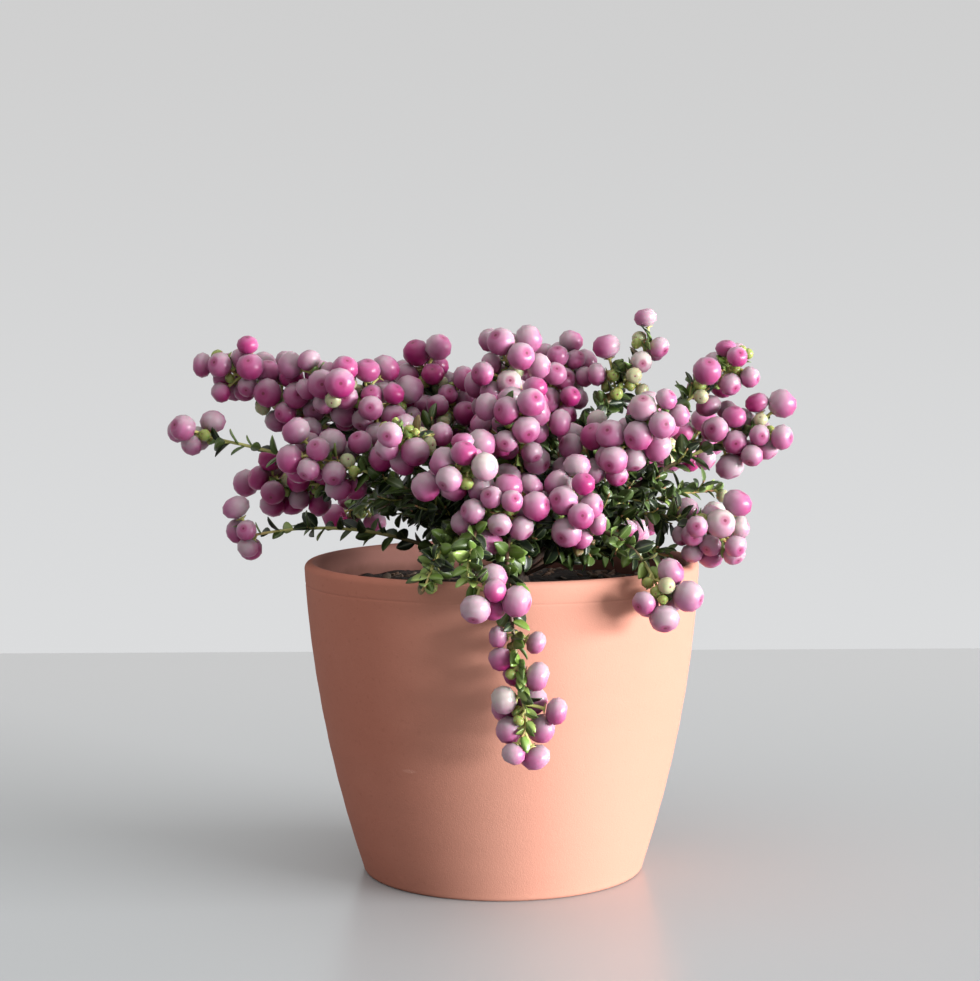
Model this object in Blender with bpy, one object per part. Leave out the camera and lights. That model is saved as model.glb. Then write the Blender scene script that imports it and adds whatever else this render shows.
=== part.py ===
"""Potted prickly heath: a low evergreen shrub full of pink berries, in a round clay pot.

Solids in metres, +Z up, +X to the right, +Y away from the viewer. The origin is the
centre of the pot's flat underside. The shrub is a short trunk standing on the soil,
one bare bough to each spray, and the sprays themselves: stems with leaves and berries.
"""

import math
from collections import namedtuple

import bmesh
import bpy
import numpy as np

MM = 0.001
CLEAR = 0.3 * MM

# Pot
POT_HEIGHT = 109.3 * MM
POT_BASE_RADIUS = 48.9 * MM
POT_RIM_RADIUS = 69.0 * MM
POT_BULGE = (1.775, -0.800, 0.025)
POT_WALL = 4.4 * MM
POT_FLOOR = 8.0 * MM
POT_BASE_ROUND = 1.6 * MM
POT_SIDES = 36

# Soil
SOIL_TOP = POT_HEIGHT - 10.0 * MM
SOIL_MOUND = 1.2 * MM

# Trunk
TRUNK_HEIGHT = 30.0 * MM
TRUNK_FLARE_RADIUS = 7.0 * MM
TRUNK_FOOT_RADIUS = 4.6 * MM
TRUNK_TOP_RADIUS = 3.3 * MM
TRUNK_PLACE = (3.5 * MM, 1.0 * MM)
TRUNK_LEAN = (5.0 * MM, -1.5 * MM)
TRUNK_RINGS = (0.0, 1.0 * MM, 2.2 * MM, 4.0 * MM, 10.0 * MM, 20.0 * MM, 29.2 * MM)
TRUNK_SIDES = 14
TRUNK_ROOT_LOBES = 5

# Boughs
BOUGH_SIDES = 5
BOUGH_RINGS = 5
BOUGH_TIP_RADIUS = 0.85 * MM
LIMB_PULL = 0.38
FOOT_GAP = 0.4 * MM

# Sprays. A berry or leaf that finds no room is tried again at another turn, TRIES times.
STEM_RADIUS = 0.75 * MM
STEM_TIP_RADIUS = 0.45 * MM
STEM_RINGS = 6
STEM_SIDES = 3
GOLDEN_ANGLE = math.radians(137.5)
TRIES = 14
FIRST_SEED = 100
STEM_STEPS = 60
ROOM_STEPS = 14
SPRAY_GAP = 2.5 * CLEAR

# Berries and leaves, a little larger than life, as there are fewer of them. The levels
# are the heights of the four rings of points of a regular solid of twenty triangles.
BERRY_RADIUS = 6.5 * MM
BERRY_STALK = (9.2 * MM, 14.0 * MM)
BERRY_STALK_RADIUS = 0.55 * MM
BERRY_FLATTEN = 0.90
BERRY_LEVELS = (0.7947, 0.1876, -0.1876, -0.7947)
BERRY_SPACE = 1.12 * BERRY_RADIUS
BERRY_DROOP = 0.25
FIRST_BERRY = 0.22
FIRST_BERRY_FROM_TRUNK = 0.45
LEAF_LENGTH = 16.0 * MM
LEAF_WIDTH = 8.0 * MM
LEAF_THICKNESS = 1.0 * MM

# One row a spray. bearing: degrees round from +X, seen from above; reach: distance of the
# tip from the pot's axis; height: of the tip above the rim; foot: height on the trunk;
# lift and end: slope of the limb as it leaves the trunk and at its tip, in degrees;
# hook: how far back from the tip the end slope holds, as a share of the span;
# bare: the share of the limb that is bare bough (0: the spray's stem starts at the trunk).
Spray = namedtuple("Spray", "name bearing reach height foot lift end hook bare wood berries leaves")
SPRAYS = (
    Spray("left_tip", 180, 102, 43, 12.5, 30, 12, 0.38, 0.60, 1.3, 7, 8),
    Spray("upper_left", 174, 93, 66, 16.5, 42, 22, 0.38, 0.60, 1.3, 8, 8),
    Spray("left_crest", 188, 62, 62, 20.5, 60, 25, 0.38, 0.52, 1.2, 8, 7),
    Spray("left_shade", 158, 88, 24, 8.5, 34, -4, 0.38, 0.52, 1.2, 6, 9),
    Spray("left_low", 186, 86, 11, 4.5, 24, -10, 0.38, 0.00, 1.1, 5, 15),
    Spray("left_front", 206, 70, 38, 8.5, 42, 12, 0.38, 0.50, 1.2, 8, 8),
    Spray("left_dome", 148, 34, 65, 24.5, 66, 50, 0.38, 0.50, 1.2, 8, 7),
    Spray("front_left", 235, 58, 47, 17.0, 55, 20, 0.38, 0.48, 1.2, 8, 8),
    Spray("front_middle", 257, 62, 36, 20.5, 42, 5, 0.38, 0.45, 1.1, 7, 8),
    Spray("top_middle", 245, 12, 74, 28.0, 80, 75, 0.38, 0.46, 1.2, 8, 6),
    Spray("top_right", 34, 28, 70, 25.5, 76, 60, 0.38, 0.48, 1.1, 8, 7),
    Spray("centre", 278, 42, 52, 24.5, 60, 40, 0.38, 0.42, 1.2, 8, 7),
    Spray("centre_low", 271, 60, 22, 16.0, 36, -5, 0.38, 0.00, 1.0, 6, 9),
    Spray("centre_right_low", 293, 60, 18, 4.5, 46, -5, 0.38, 0.00, 1.0, 6, 10),
    Spray("right_crest", 5, 52, 75, 21.5, 66, 55, 0.38, 0.52, 1.1, 8, 7),
    Spray("right_centre", 318, 66, 48, 20.5, 45, 28, 0.38, 0.48, 1.2, 8, 8),
    Spray("right_upper", 1, 77, 66, 16.2, 42, 32, 0.38, 0.58, 1.2, 8, 8),
    Spray("right_tip", 358, 90, 44, 8.5, 34, 15, 0.38, 0.58, 1.5, 8, 8),
    Spray("right_low", 338, 81, 12, 12.5, 34, -30, 0.38, 0.52, 1.1, 7, 8),
    Spray("right_under", 14, 78, 22, 4.5, 36, 0, 0.38, 0.00, 1.1, 6, 10),
    Spray("right_front_low", 310, 80, -3, 8.5, 42, -60, 0.38, 0.52, 1.0, 7, 6),
    Spray("hanging", 275, 82, -42, 8.5, 26, -86, 0.84, 0.50, 1.0, 9, 12),
    Spray("front_low", 262, 80, 5, 12.5, 36, -50, 0.38, 0.45, 1.0, 6, 9),
    Spray("front_left_low", 246, 77, 4, 4.5, 40, -35, 0.38, 0.00, 1.0, 4, 14),
    Spray("right_foliage", 335, 60, 4, 4.5, 26, -15, 0.38, 0.00, 1.0, 2, 14),
    Spray("back_right", 32, 84, 38, 12.5, 34, 12, 0.38, 0.52, 1.3, 8, 8),
    Spray("back_right_low", 54, 86, 8, 4.5, 44, -35, 0.38, 0.48, 1.1, 7, 9),
    Spray("back_high", 76, 60, 62, 16.5, 58, 30, 0.38, 0.50, 1.3, 8, 8),
    Spray("back_low", 92, 84, 20, 8.5, 42, -20, 0.38, 0.50, 1.1, 7, 9),
    Spray("back_left_high", 120, 76, 56, 12.5, 50, 22, 0.38, 0.52, 1.3, 8, 8),
    Spray("back_left_low", 132, 84, 12, 4.5, 42, -20, 0.38, 0.50, 1.1, 7, 9),
)

CLAY = (0.78, 0.46, 0.33)
EARTH = (0.035, 0.025, 0.020)
BARK = (0.16, 0.10, 0.07)
FOLIAGE = (0.62, 0.24, 0.40)

UP = np.array((0.0, 0.0, 1.0))


def clear_scene():
    """Remove whatever the scene holds."""
    for item in list(bpy.data.objects):
        bpy.data.objects.remove(item, do_unlink=True)


def make_material(name, colour, roughness):
    """A plain shader with one colour and one roughness."""
    material = bpy.data.materials.new(name)
    material.use_nodes = True
    shader = material.node_tree.nodes["Principled BSDF"]
    shader.inputs["Base Color"].default_value = (*colour, 1.0)
    shader.inputs["Roughness"].default_value = roughness
    shader.inputs["Metallic"].default_value = 0.0
    return material


def make_object(name, points, faces, material, smooth=False):
    """A mesh object from points and faces, its faces turned outwards."""
    mesh = bpy.data.meshes.new(name)
    mesh.from_pydata([tuple(p) for p in points], [], faces)
    shape = bmesh.new()
    shape.from_mesh(mesh)
    bmesh.ops.recalc_face_normals(shape, faces=shape.faces)
    shape.to_mesh(mesh)
    shape.free()
    if smooth:
        mesh.shade_smooth()
    mesh.materials.append(material)
    item = bpy.data.objects.new(name, mesh)
    bpy.context.scene.collection.objects.link(item)
    return item


def turned(profile, sides):
    """Points and faces of a profile of (radius, height) pairs turned about the Z axis.

    The profile starts and ends on the axis, where its end points become one point each.
    """
    points = [(0.0, 0.0, profile[0][1])]
    rings = []
    for radius, height in profile[1:-1]:
        rings.append(range(len(points), len(points) + sides))
        for step in range(sides):
            turn = 2.0 * math.pi * step / sides
            points.append((radius * math.cos(turn), radius * math.sin(turn), height))
    points.append((0.0, 0.0, profile[-1][1]))
    faces = []
    for step in range(sides):
        after = (step + 1) % sides
        faces.append((0, rings[0][after], rings[0][step]))
        faces.append((len(points) - 1, rings[-1][step], rings[-1][after]))
        for low, high in zip(rings, rings[1:]):
            faces.append((low[step], low[after], high[after], high[step]))
    return points, faces


def pot_radius(height):
    """Outer radius of the pot at a height: the base radius plus a share of the spread."""
    share = height / POT_HEIGHT
    a, b, c = POT_BULGE
    return POT_BASE_RADIUS + (POT_RIM_RADIUS - POT_BASE_RADIUS) * share * (a + share * (b + share * c))


def inner_heights():
    """Heights of the inner wall's rings, from the floor to the foot of the lip."""
    lip = POT_HEIGHT - POT_WALL / 2
    return [POT_FLOOR, POT_FLOOR + (SOIL_TOP - POT_FLOOR) / 2, SOIL_TOP, lip]


def pot_profile():
    """Up the outside, over the round lip and down the inside, as (radius, height) pairs."""
    lip_foot = POT_HEIGHT - POT_WALL / 2
    profile = [(0.0, 0.0), (POT_BASE_RADIUS - POT_BASE_ROUND, 0.0)]
    outer_steps = 6
    for step in range(outer_steps + 1):
        height = POT_BASE_ROUND + (lip_foot - POT_BASE_ROUND) * step / outer_steps
        profile.append((pot_radius(height), height))
    middle = pot_radius(lip_foot) - POT_WALL / 2
    lip_steps = 4
    for step in range(1, lip_steps):
        turn = math.pi * step / lip_steps
        profile.append((middle + POT_WALL / 2 * math.cos(turn), lip_foot + POT_WALL / 2 * math.sin(turn)))
    for height in reversed(inner_heights()):
        profile.append((pot_radius(height) - POT_WALL, height))
    profile.append((0.0, POT_FLOOR))
    return profile


def soil_profile():
    """The filling: clear of floor and wall, flat round the trunk, a low mound, a low edge."""
    low, middle, top = inner_heights()[:3]
    side = [(pot_radius(height) - POT_WALL - CLEAR, height) for height in (low, middle, top)]
    edge = (side[2][0], top - SOIL_MOUND)
    return [
        (0.0, low + CLEAR),
        (side[0][0], low + CLEAR),
        side[1],
        edge,
        (0.6 * side[2][0], top + SOIL_MOUND),
        (2.2 * TRUNK_FLARE_RADIUS, top),
        (0.0, top),
    ]


def trunk_axis(height):
    """Centre of the trunk at a height above the soil: it leans evenly."""
    share = height / TRUNK_HEIGHT
    x = TRUNK_PLACE[0] + TRUNK_LEAN[0] * share
    y = TRUNK_PLACE[1] + TRUNK_LEAN[1] * share
    return np.array((x, y, SOIL_TOP + CLEAR + height))


def trunk_radius(height):
    """An even taper, with a flare that dies away over the trunk's first few millimetres."""
    share = height / TRUNK_HEIGHT
    taper = TRUNK_FOOT_RADIUS + (TRUNK_TOP_RADIUS - TRUNK_FOOT_RADIUS) * share
    flare = (TRUNK_FLARE_RADIUS - TRUNK_FOOT_RADIUS) * math.exp(-height / (2.0 * MM))
    return taper + flare


def trunk_shape():
    """Rings up the leaning axis; the flare stands out in a few root lobes."""
    profile = [(0.0, 0.0)]
    for height in TRUNK_RINGS:
        profile.append((1.0, height))
    profile.append((0.0, TRUNK_HEIGHT))
    points, faces = turned(profile, TRUNK_SIDES)
    placed = []
    for x, y, height in points:
        axis = trunk_axis(height)
        radius = trunk_radius(height)
        spread = max(0.0, radius - TRUNK_FOOT_RADIUS)
        lobes = 1.0 + 0.45 * spread / radius * math.cos(TRUNK_ROOT_LOBES * math.atan2(y, x))
        placed.append((axis[0] + x * radius * lobes, axis[1] + y * radius * lobes, axis[2]))
    return placed, faces


def polar(bearing, slope):
    """Unit vector at a bearing from +X and a slope above level, both in degrees."""
    turn = math.radians(bearing)
    rise = math.radians(slope)
    return np.array((math.cos(turn) * math.cos(rise), math.sin(turn) * math.cos(rise), math.sin(rise)))


def limb_curve(spray, shares):
    """Points on the smooth curve from the trunk's side to the spray's tip.

    A cubic Bezier curve: it leaves the trunk at the spray's lift and ends at its end slope.
    """
    height = spray.foot * MM
    tip = polar(spray.bearing, 0) * spray.reach * MM + UP * (POT_HEIGHT + spray.height * MM)
    axis = trunk_axis(height)
    bearing = math.degrees(math.atan2(tip[1] - axis[1], tip[0] - axis[0]))
    start = axis + polar(bearing, 0) * (trunk_radius(height) + FOOT_GAP)
    span = np.linalg.norm(tip - start)
    first = start + polar(bearing, spray.lift) * span * LIMB_PULL
    second = tip - polar(spray.bearing, spray.end) * span * spray.hook
    t = np.asarray(shares, float)[:, None]
    near = (1 - t) ** 3 * start + 3 * (1 - t) ** 2 * t * first
    far = 3 * (1 - t) * t ** 2 * second + t ** 3 * tip
    return near + far


def tangents(path):
    """Unit directions along a path of points."""
    steps = np.gradient(path, axis=0)
    return steps / np.linalg.norm(steps, axis=1)[:, None]


def tube(path, radii, sides, first_normal=None):
    """A tapering limb: one ring of points round each point of the path, with flat ends."""
    along = tangents(path)
    if first_normal is not None:
        along[0] = first_normal
    points = []
    side = np.cross(along[0], UP)
    if np.linalg.norm(side) < 0.05:
        side = np.array((1.0, 0.0, 0.0))
    for centre, direction, radius in zip(path, along, radii):
        side = side - direction * np.dot(side, direction)
        side = side / np.linalg.norm(side)
        over = np.cross(direction, side)
        for step in range(sides):
            turn = 2.0 * math.pi * step / sides
            points.append(centre + radius * (math.cos(turn) * side + math.sin(turn) * over))
    count = len(path)
    faces = [tuple(range(sides)), tuple(range((count - 1) * sides, count * sides))]
    for row in range(count - 1):
        for step in range(sides):
            after = (step + 1) % sides
            low = row * sides
            faces.append((low + step, low + after, low + sides + after, low + sides + step))
    return points, faces


def berry(centre, outward):
    """A faceted ball, a little flat along the direction in which the berry looks out.

    Twelve points in four staggered rings of three, as on the regular solid of twenty
    triangles, with one flat face towards the stalk and the opposite one outwards.
    """
    side = np.cross(outward, UP + 0.1)
    side = side / np.linalg.norm(side)
    over = np.cross(outward, side)
    points = []
    for number, level in enumerate(BERRY_LEVELS):
        reach = math.sqrt(1.0 - level * level)
        for step in range(3):
            turn = math.radians(120 * step + 60 * (number % 2))
            across = reach * (math.cos(turn) * side + math.sin(turn) * over)
            points.append(centre + BERRY_RADIUS * (outward * level * BERRY_FLATTEN + across))
    faces = [(0, 1, 2), (9, 10, 11)]
    for step in range(3):
        after = (step + 1) % 3
        before = (step + 2) % 3
        faces.append((step, 3 + step, after))
        faces.append((step, 6 + step, 3 + step))
        faces.append((step, 3 + before, 6 + step))
        faces.append((3 + step, 6 + step, 9 + step))
        faces.append((3 + step, 9 + step, 6 + after))
        faces.append((6 + step, 9 + before, 9 + step))
    return points, faces


def leaf(base, direction, face_up):
    """A pointed blade of eight triangles: base, tip, two edges, and a ridge above and below."""
    side = np.cross(direction, face_up)
    side = side / np.linalg.norm(side)
    over = np.cross(side, direction)
    middle = base + direction * LEAF_LENGTH * 0.45
    points = [
        base,
        base + direction * LEAF_LENGTH,
        middle + side * LEAF_WIDTH / 2,
        middle - side * LEAF_WIDTH / 2,
        middle + over * LEAF_THICKNESS / 2,
        middle - over * LEAF_THICKNESS / 2,
    ]
    faces = []
    for end in (0, 1):
        for edge in (2, 3):
            for ridge in (4, 5):
                faces.append((end, edge, ridge))
    return points, faces


def distances(points, starts, ends):
    """Distance of every point to every straight piece between starts and ends."""
    spans = ends - starts
    offset = points[:, None, :] - starts[None]
    share = np.clip((offset * spans).sum(-1) / (spans * spans).sum(-1), 0.0, 1.0)
    return np.linalg.norm(offset - share[..., None] * spans, axis=-1)


class Room:
    """The space that each spray may fill.

    A point belongs to the spray whose stem is nearest. It also stays clear of every
    bough, of the trunk, of the soil and of the pot's wall.
    """

    def __init__(self, stems, limbs):
        self.stems = stems
        self.limb_starts = np.concatenate([path[:-1] for path, radius in limbs])
        self.limb_ends = np.concatenate([path[1:] for path, radius in limbs])
        self.limb_radii = np.concatenate([np.full(len(path) - 1, radius) for path, radius in limbs])
        heights = np.linspace(0.0, POT_HEIGHT - POT_WALL / 2, 24)
        middle = np.array([(pot_radius(height) - POT_WALL / 2, 0.0, height) for height in heights])
        self.wall_starts = middle[:-1]
        self.wall_ends = middle[1:]

    def clear_of_pot(self, points, thickness):
        """True where points, each a ball of the thickness, miss the pot's wall and the soil."""
        radial = np.hypot(points[:, 0], points[:, 1])
        flat = np.stack((radial, np.zeros(len(points)), points[:, 2]), axis=1)
        wall = distances(flat, self.wall_starts, self.wall_ends).min()
        if wall < POT_WALL / 2 + thickness + 2 * CLEAR:
            return False
        inside = radial < pot_radius(np.minimum(points[:, 2], POT_HEIGHT))
        lowest = SOIL_TOP + SOIL_MOUND + thickness + 2 * CLEAR
        return not (points[inside, 2] < lowest).any()

    def holds(self, name, points, thickness=0.0):
        """True where points, each a ball of the thickness, all stay in the spray's own space."""
        if not self.clear_of_pot(points, thickness):
            return False
        limbs = distances(points, self.limb_starts, self.limb_ends) - self.limb_radii
        if limbs.min() < thickness + 1.5 * CLEAR:
            return False
        own = distances(points, *self.stems[name]).min(axis=1)
        others = [stem for other, stem in self.stems.items() if other != name]
        nearest = np.min([distances(points, *stem).min(axis=1) for stem in others], axis=0)
        return not (nearest < own + SPRAY_GAP).any()


def berry_points(centre):
    """Points all over a berry's outside, to test its room."""
    turns = np.linspace(0.0, 2.0 * math.pi, 8, endpoint=False)
    shell = [(0.0, 0.0, 1.0), (0.0, 0.0, -1.0)]
    for slope in (-0.6, 0.0, 0.6):
        for turn in turns:
            level = math.cos(slope)
            shell.append((math.cos(turn) * level, math.sin(turn) * level, math.sin(slope)))
    return centre + np.array(shell) * BERRY_RADIUS


def leaf_points(points):
    """Points along a leaf's middle and round its outline, to test its room."""
    base, tip, right, left = (np.array(point) for point in points[:4])
    outline = [base * (1 - share) + tip * share for share in (0.5, 0.75, 1.0)]
    for edge in (right, left):
        outline += [base * 0.4 + edge * 0.6, edge, edge * 0.5 + tip * 0.5]
    return np.array(outline)


def radial_direction(along, turn, lean):
    """A unit vector out from a stem, turned about it and leaning towards its tip."""
    side = np.cross(along, UP + np.array((0.07, 0.13, 0.0)))
    side = side / np.linalg.norm(side)
    over = np.cross(along, side)
    out = math.cos(turn) * side + math.sin(turn) * over
    return math.cos(lean) * out + math.sin(lean) * along


def stem_start(spray):
    """Share of the limb's curve at which the spray's own stem starts, just off its bough."""
    if spray.bare == 0:
        return 0.0
    probe = limb_curve(spray, (spray.bare, spray.bare + 0.01))
    return spray.bare + 0.01 * CLEAR / np.linalg.norm(probe[1] - probe[0])


def trunk_side(spray):
    """Direction in which the trunk's side faces where the limb leaves it."""
    start = limb_curve(spray, (0.0,))[0]
    axis = trunk_axis(TRUNK_HEIGHT) - trunk_axis(0.0)
    axis = axis / np.linalg.norm(axis)
    out = start - trunk_axis(spray.foot * MM)
    out = out - axis * np.dot(out, axis)
    return out / np.linalg.norm(out)


def berry_fits(root, centre, spray, room, placed):
    """True where a berry and its stalk miss the stem, the berries there and all else."""
    if distances(centre[None], *room.stems[spray.name]).min() < BERRY_RADIUS + STEM_RADIUS + CLEAR:
        return False
    for other_root, other_centre in placed:
        if np.linalg.norm(centre - other_centre) < 2.04 * BERRY_RADIUS:
            return False
        if distances(centre[None], other_root[None], other_centre[None]).min() < BERRY_SPACE:
            return False
        if distances(other_centre[None], root[None], centre[None]).min() < BERRY_SPACE:
            return False
    middle = root * 0.45 + centre * 0.55
    if not room.holds(spray.name, middle[None], BERRY_STALK_RADIUS):
        return False
    return room.holds(spray.name, berry_points(centre))


def grow_berries(spray, room, fine, along, chance):
    """Roots and centres of the berries, from the tip back, round the stem by the golden angle."""
    first = FIRST_BERRY_FROM_TRUNK if spray.bare == 0 else FIRST_BERRY
    placed = []
    for number in range(spray.berries):
        place = 1.0 - (1.0 - first) * number / max(1, spray.berries - 1)
        for attempt in range(TRIES):
            share = np.clip(place + chance.uniform(-0.05, 0.05), first, 1.0)
            index = int(round(share * (STEM_STEPS - 1)))
            turn = GOLDEN_ANGLE * number + chance.uniform(-0.5, 0.5) + attempt * 1.1
            lean = chance.uniform(0.15, 0.75) if share < 0.9 else chance.uniform(0.5, 1.3)
            direction = radial_direction(along[index], turn, lean) - UP * BERRY_DROOP
            direction = direction / np.linalg.norm(direction)
            root = fine[index]
            centre = root + direction * chance.uniform(*BERRY_STALK)
            if berry_fits(root, centre, spray, room, placed):
                placed.append((root, centre))
                break
    return placed


def grow_leaves(spray, room, fine, along, chance, berries):
    """Blades along the whole stem, round it by the golden angle, clear of the berries."""
    centres = np.array([centre for root, centre in berries]).reshape(-1, 3)
    blades = []
    for number in range(spray.leaves):
        place = 0.04 + 0.94 * number / max(1, spray.leaves - 1)
        for attempt in range(TRIES):
            share = np.clip(place + chance.uniform(-0.04, 0.04), 0.03, 1.0)
            index = int(round(share * (STEM_STEPS - 1)))
            turn = GOLDEN_ANGLE * number + chance.uniform(-0.4, 0.4) + attempt * 0.9
            direction = radial_direction(along[index], turn, chance.uniform(0.4, 1.0))
            base = fine[index] - direction * STEM_RADIUS * 0.3
            blade = leaf(base, direction, along[index] + UP * 0.3)
            outline = leaf_points(blade[0])
            apart = np.linalg.norm(outline[:, None] - centres, axis=-1).min(initial=1.0)
            if apart > BERRY_RADIUS * 1.08 and room.holds(spray.name, outline, LEAF_THICKNESS / 2):
                blades.append(blade)
                break
    return blades


def spray_pieces(spray, room, seed):
    """The spray's stem, its berries on their stalks and its leaves, by a seeded rule."""
    chance = np.random.default_rng(seed)
    start = stem_start(spray)
    fine = limb_curve(spray, np.linspace(start, 1.0, STEM_STEPS))
    along = tangents(fine)
    berries = grow_berries(spray, room, fine, along, chance)
    blades = grow_leaves(spray, room, fine, along, chance, berries)

    path = limb_curve(spray, np.linspace(start, 1.0, STEM_RINGS))
    radii = np.linspace(STEM_RADIUS, STEM_TIP_RADIUS, STEM_RINGS)
    first_normal = trunk_side(spray) if spray.bare == 0 else None
    pieces = [tube(path, radii, STEM_SIDES, first_normal)]
    for root, centre in berries:
        direction = (centre - root) / np.linalg.norm(centre - root)
        stalk = np.array((root, centre - direction * BERRY_RADIUS * 0.55))
        pieces.append(tube(stalk, (BERRY_STALK_RADIUS, BERRY_STALK_RADIUS * 0.8), STEM_SIDES))
        pieces.append(berry(centre, direction))
    return pieces + blades


def join_pieces(name, pieces, material):
    """One closed solid from overlapping pieces, by one Boolean union on a collection."""
    body = make_object(name, *pieces[0], material)
    group = bpy.data.collections.new(name + "_pieces")
    bpy.context.scene.collection.children.link(group)
    for points, faces in pieces[1:]:
        item = make_object(name + "_piece", points, faces, material)
        bpy.context.scene.collection.objects.unlink(item)
        group.objects.link(item)
    union = body.modifiers.new("union", "BOOLEAN")
    union.operation = "UNION"
    union.operand_type = "COLLECTION"
    union.collection = group
    union.solver = "EXACT"
    graph = bpy.context.evaluated_depsgraph_get()
    mesh = bpy.data.meshes.new_from_object(body.evaluated_get(graph))
    body.modifiers.clear()
    body.data = mesh
    for item in list(group.objects):
        bpy.data.objects.remove(item, do_unlink=True)
    bpy.data.collections.remove(group)
    keep_largest(mesh)
    return body


def keep_largest(mesh):
    """Drop loose scraps and sealed hollows: only the largest connected shell stays."""
    shape = bmesh.new()
    shape.from_mesh(mesh)
    shells = []
    left = set(shape.verts)
    while left:
        front = [left.pop()]
        shell = list(front)
        while front:
            point = front.pop()
            for edge in point.link_edges:
                other = edge.other_vert(point)
                if other in left:
                    left.remove(other)
                    front.append(other)
                    shell.append(other)
        shells.append(shell)
    shells.sort(key=len)
    for shell in shells[:-1]:
        bmesh.ops.delete(shape, geom=shell, context="VERTS")
    bmesh.ops.triangulate(shape, faces=shape.faces)
    shape.to_mesh(mesh)
    shape.free()


def build():
    """Make the pot, the soil, the trunk, the boughs and the sprays."""
    clear_scene()
    clay = make_material("clay", CLAY, 0.85)
    earth = make_material("earth", EARTH, 0.95)
    bark = make_material("bark", BARK, 0.8)
    foliage = make_material("foliage", FOLIAGE, 0.5)

    make_object("pot", *turned(pot_profile(), POT_SIDES), clay, smooth=True)
    make_object("soil", *turned(soil_profile(), POT_SIDES), earth)
    make_object("trunk", *trunk_shape(), bark, smooth=True)

    stems = {}
    trunk_path = np.array([trunk_axis(height) for height in np.linspace(0.0, TRUNK_HEIGHT, 6)])
    limbs = [(trunk_path, TRUNK_FOOT_RADIUS)]
    for spray in SPRAYS:
        path = limb_curve(spray, np.linspace(stem_start(spray), 1.0, ROOM_STEPS))
        stems[spray.name] = (path[:-1], path[1:])
        if spray.bare > 0:
            path = limb_curve(spray, np.linspace(0.0, spray.bare, BOUGH_RINGS))
            radii = np.linspace(spray.wood * MM, BOUGH_TIP_RADIUS, BOUGH_RINGS)
            shape = tube(path, radii, BOUGH_SIDES, trunk_side(spray))
            make_object("bough_" + spray.name, *shape, bark, smooth=True)
            path = limb_curve(spray, np.linspace(0.0, spray.bare, ROOM_STEPS))
            limbs.append((path, spray.wood * MM))

    room = Room(stems, limbs)
    for number, spray in enumerate(SPRAYS):
        pieces = spray_pieces(spray, room, FIRST_SEED + number)
        join_pieces("spray_" + spray.name, pieces, foliage)


build()
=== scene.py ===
"""Potted prickly heath: a small evergreen shrub full of pink berries, in a clay pot.

Metres, +Z up, +X to the right, +Y away from the viewer. The origin is the centre of the
pot's flat underside. The sections follow the plant as it is put together: view and
light, pot, soil, trunk and boughs, twigs, berries, leaves.
"""

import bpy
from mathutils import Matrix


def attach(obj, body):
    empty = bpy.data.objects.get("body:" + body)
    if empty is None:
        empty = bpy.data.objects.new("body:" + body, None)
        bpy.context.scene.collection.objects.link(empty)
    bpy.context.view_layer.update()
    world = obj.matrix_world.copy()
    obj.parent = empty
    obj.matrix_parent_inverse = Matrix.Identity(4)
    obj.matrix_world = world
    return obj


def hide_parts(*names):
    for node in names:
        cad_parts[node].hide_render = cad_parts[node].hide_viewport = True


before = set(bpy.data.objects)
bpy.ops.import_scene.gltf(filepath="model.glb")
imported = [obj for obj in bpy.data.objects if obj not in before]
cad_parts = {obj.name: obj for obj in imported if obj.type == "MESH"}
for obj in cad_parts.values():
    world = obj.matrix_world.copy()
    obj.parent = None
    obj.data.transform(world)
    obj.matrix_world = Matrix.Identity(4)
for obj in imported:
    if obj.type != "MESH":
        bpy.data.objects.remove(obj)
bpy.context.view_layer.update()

import math
from collections import namedtuple

import bpy
import numpy as np
from mathutils import Matrix, Vector

# View and light
# The photo is taken with a long lens from a little above the rim, in soft light from a
# window on the right. The pot stands on a pale table, and the room behind it is pale too.
MM = 0.001
UP = np.array((0.0, 0.0, 1.0))
IMAGE_HEIGHT = 981
FOCAL_PIXELS = 2172.4
SENSOR = 36.0
CAMERA_PLACE = (-0.00396, -0.75824, 0.19543)
CAMERA_PITCH = 0.08161
CAMERA_ROLL = -0.00514
TABLE_BACK_EDGE = 0.49
TABLE_FRONT_EDGE = -1.6
TABLE_HALF_WIDTH = 1.6
TABLE_COLOUR = (0.382, 0.399, 0.408)
# Painted reflection: the paler colour of the table's far part, where it would mirror the pale room.
TABLE_FAR_SHEEN = (0.455, 0.463, 0.469)
TABLE_ROUGHNESS = 0.28
WINDOW_PLACE = (5.3, -2.0, 0.7)
WINDOW_SIZE = (4.7, 1.3)
WINDOW_POWER = 1260.0
WINDOW_COLOUR = (0.985, 0.99, 1.0)
CEILING_PLACE = (0.0, -0.6, 2.6)
CEILING_SIZE = (3.4, 3.4)
CEILING_POWER = 45.0
ROOM_COLOUR = (1.0, 0.99, 0.98)
ROOM_LIGHT = 0.58
BACKDROP_LOW = (0.715, 0.722, 0.73)
BACKDROP_HIGH = (0.625, 0.625, 0.625)


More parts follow.
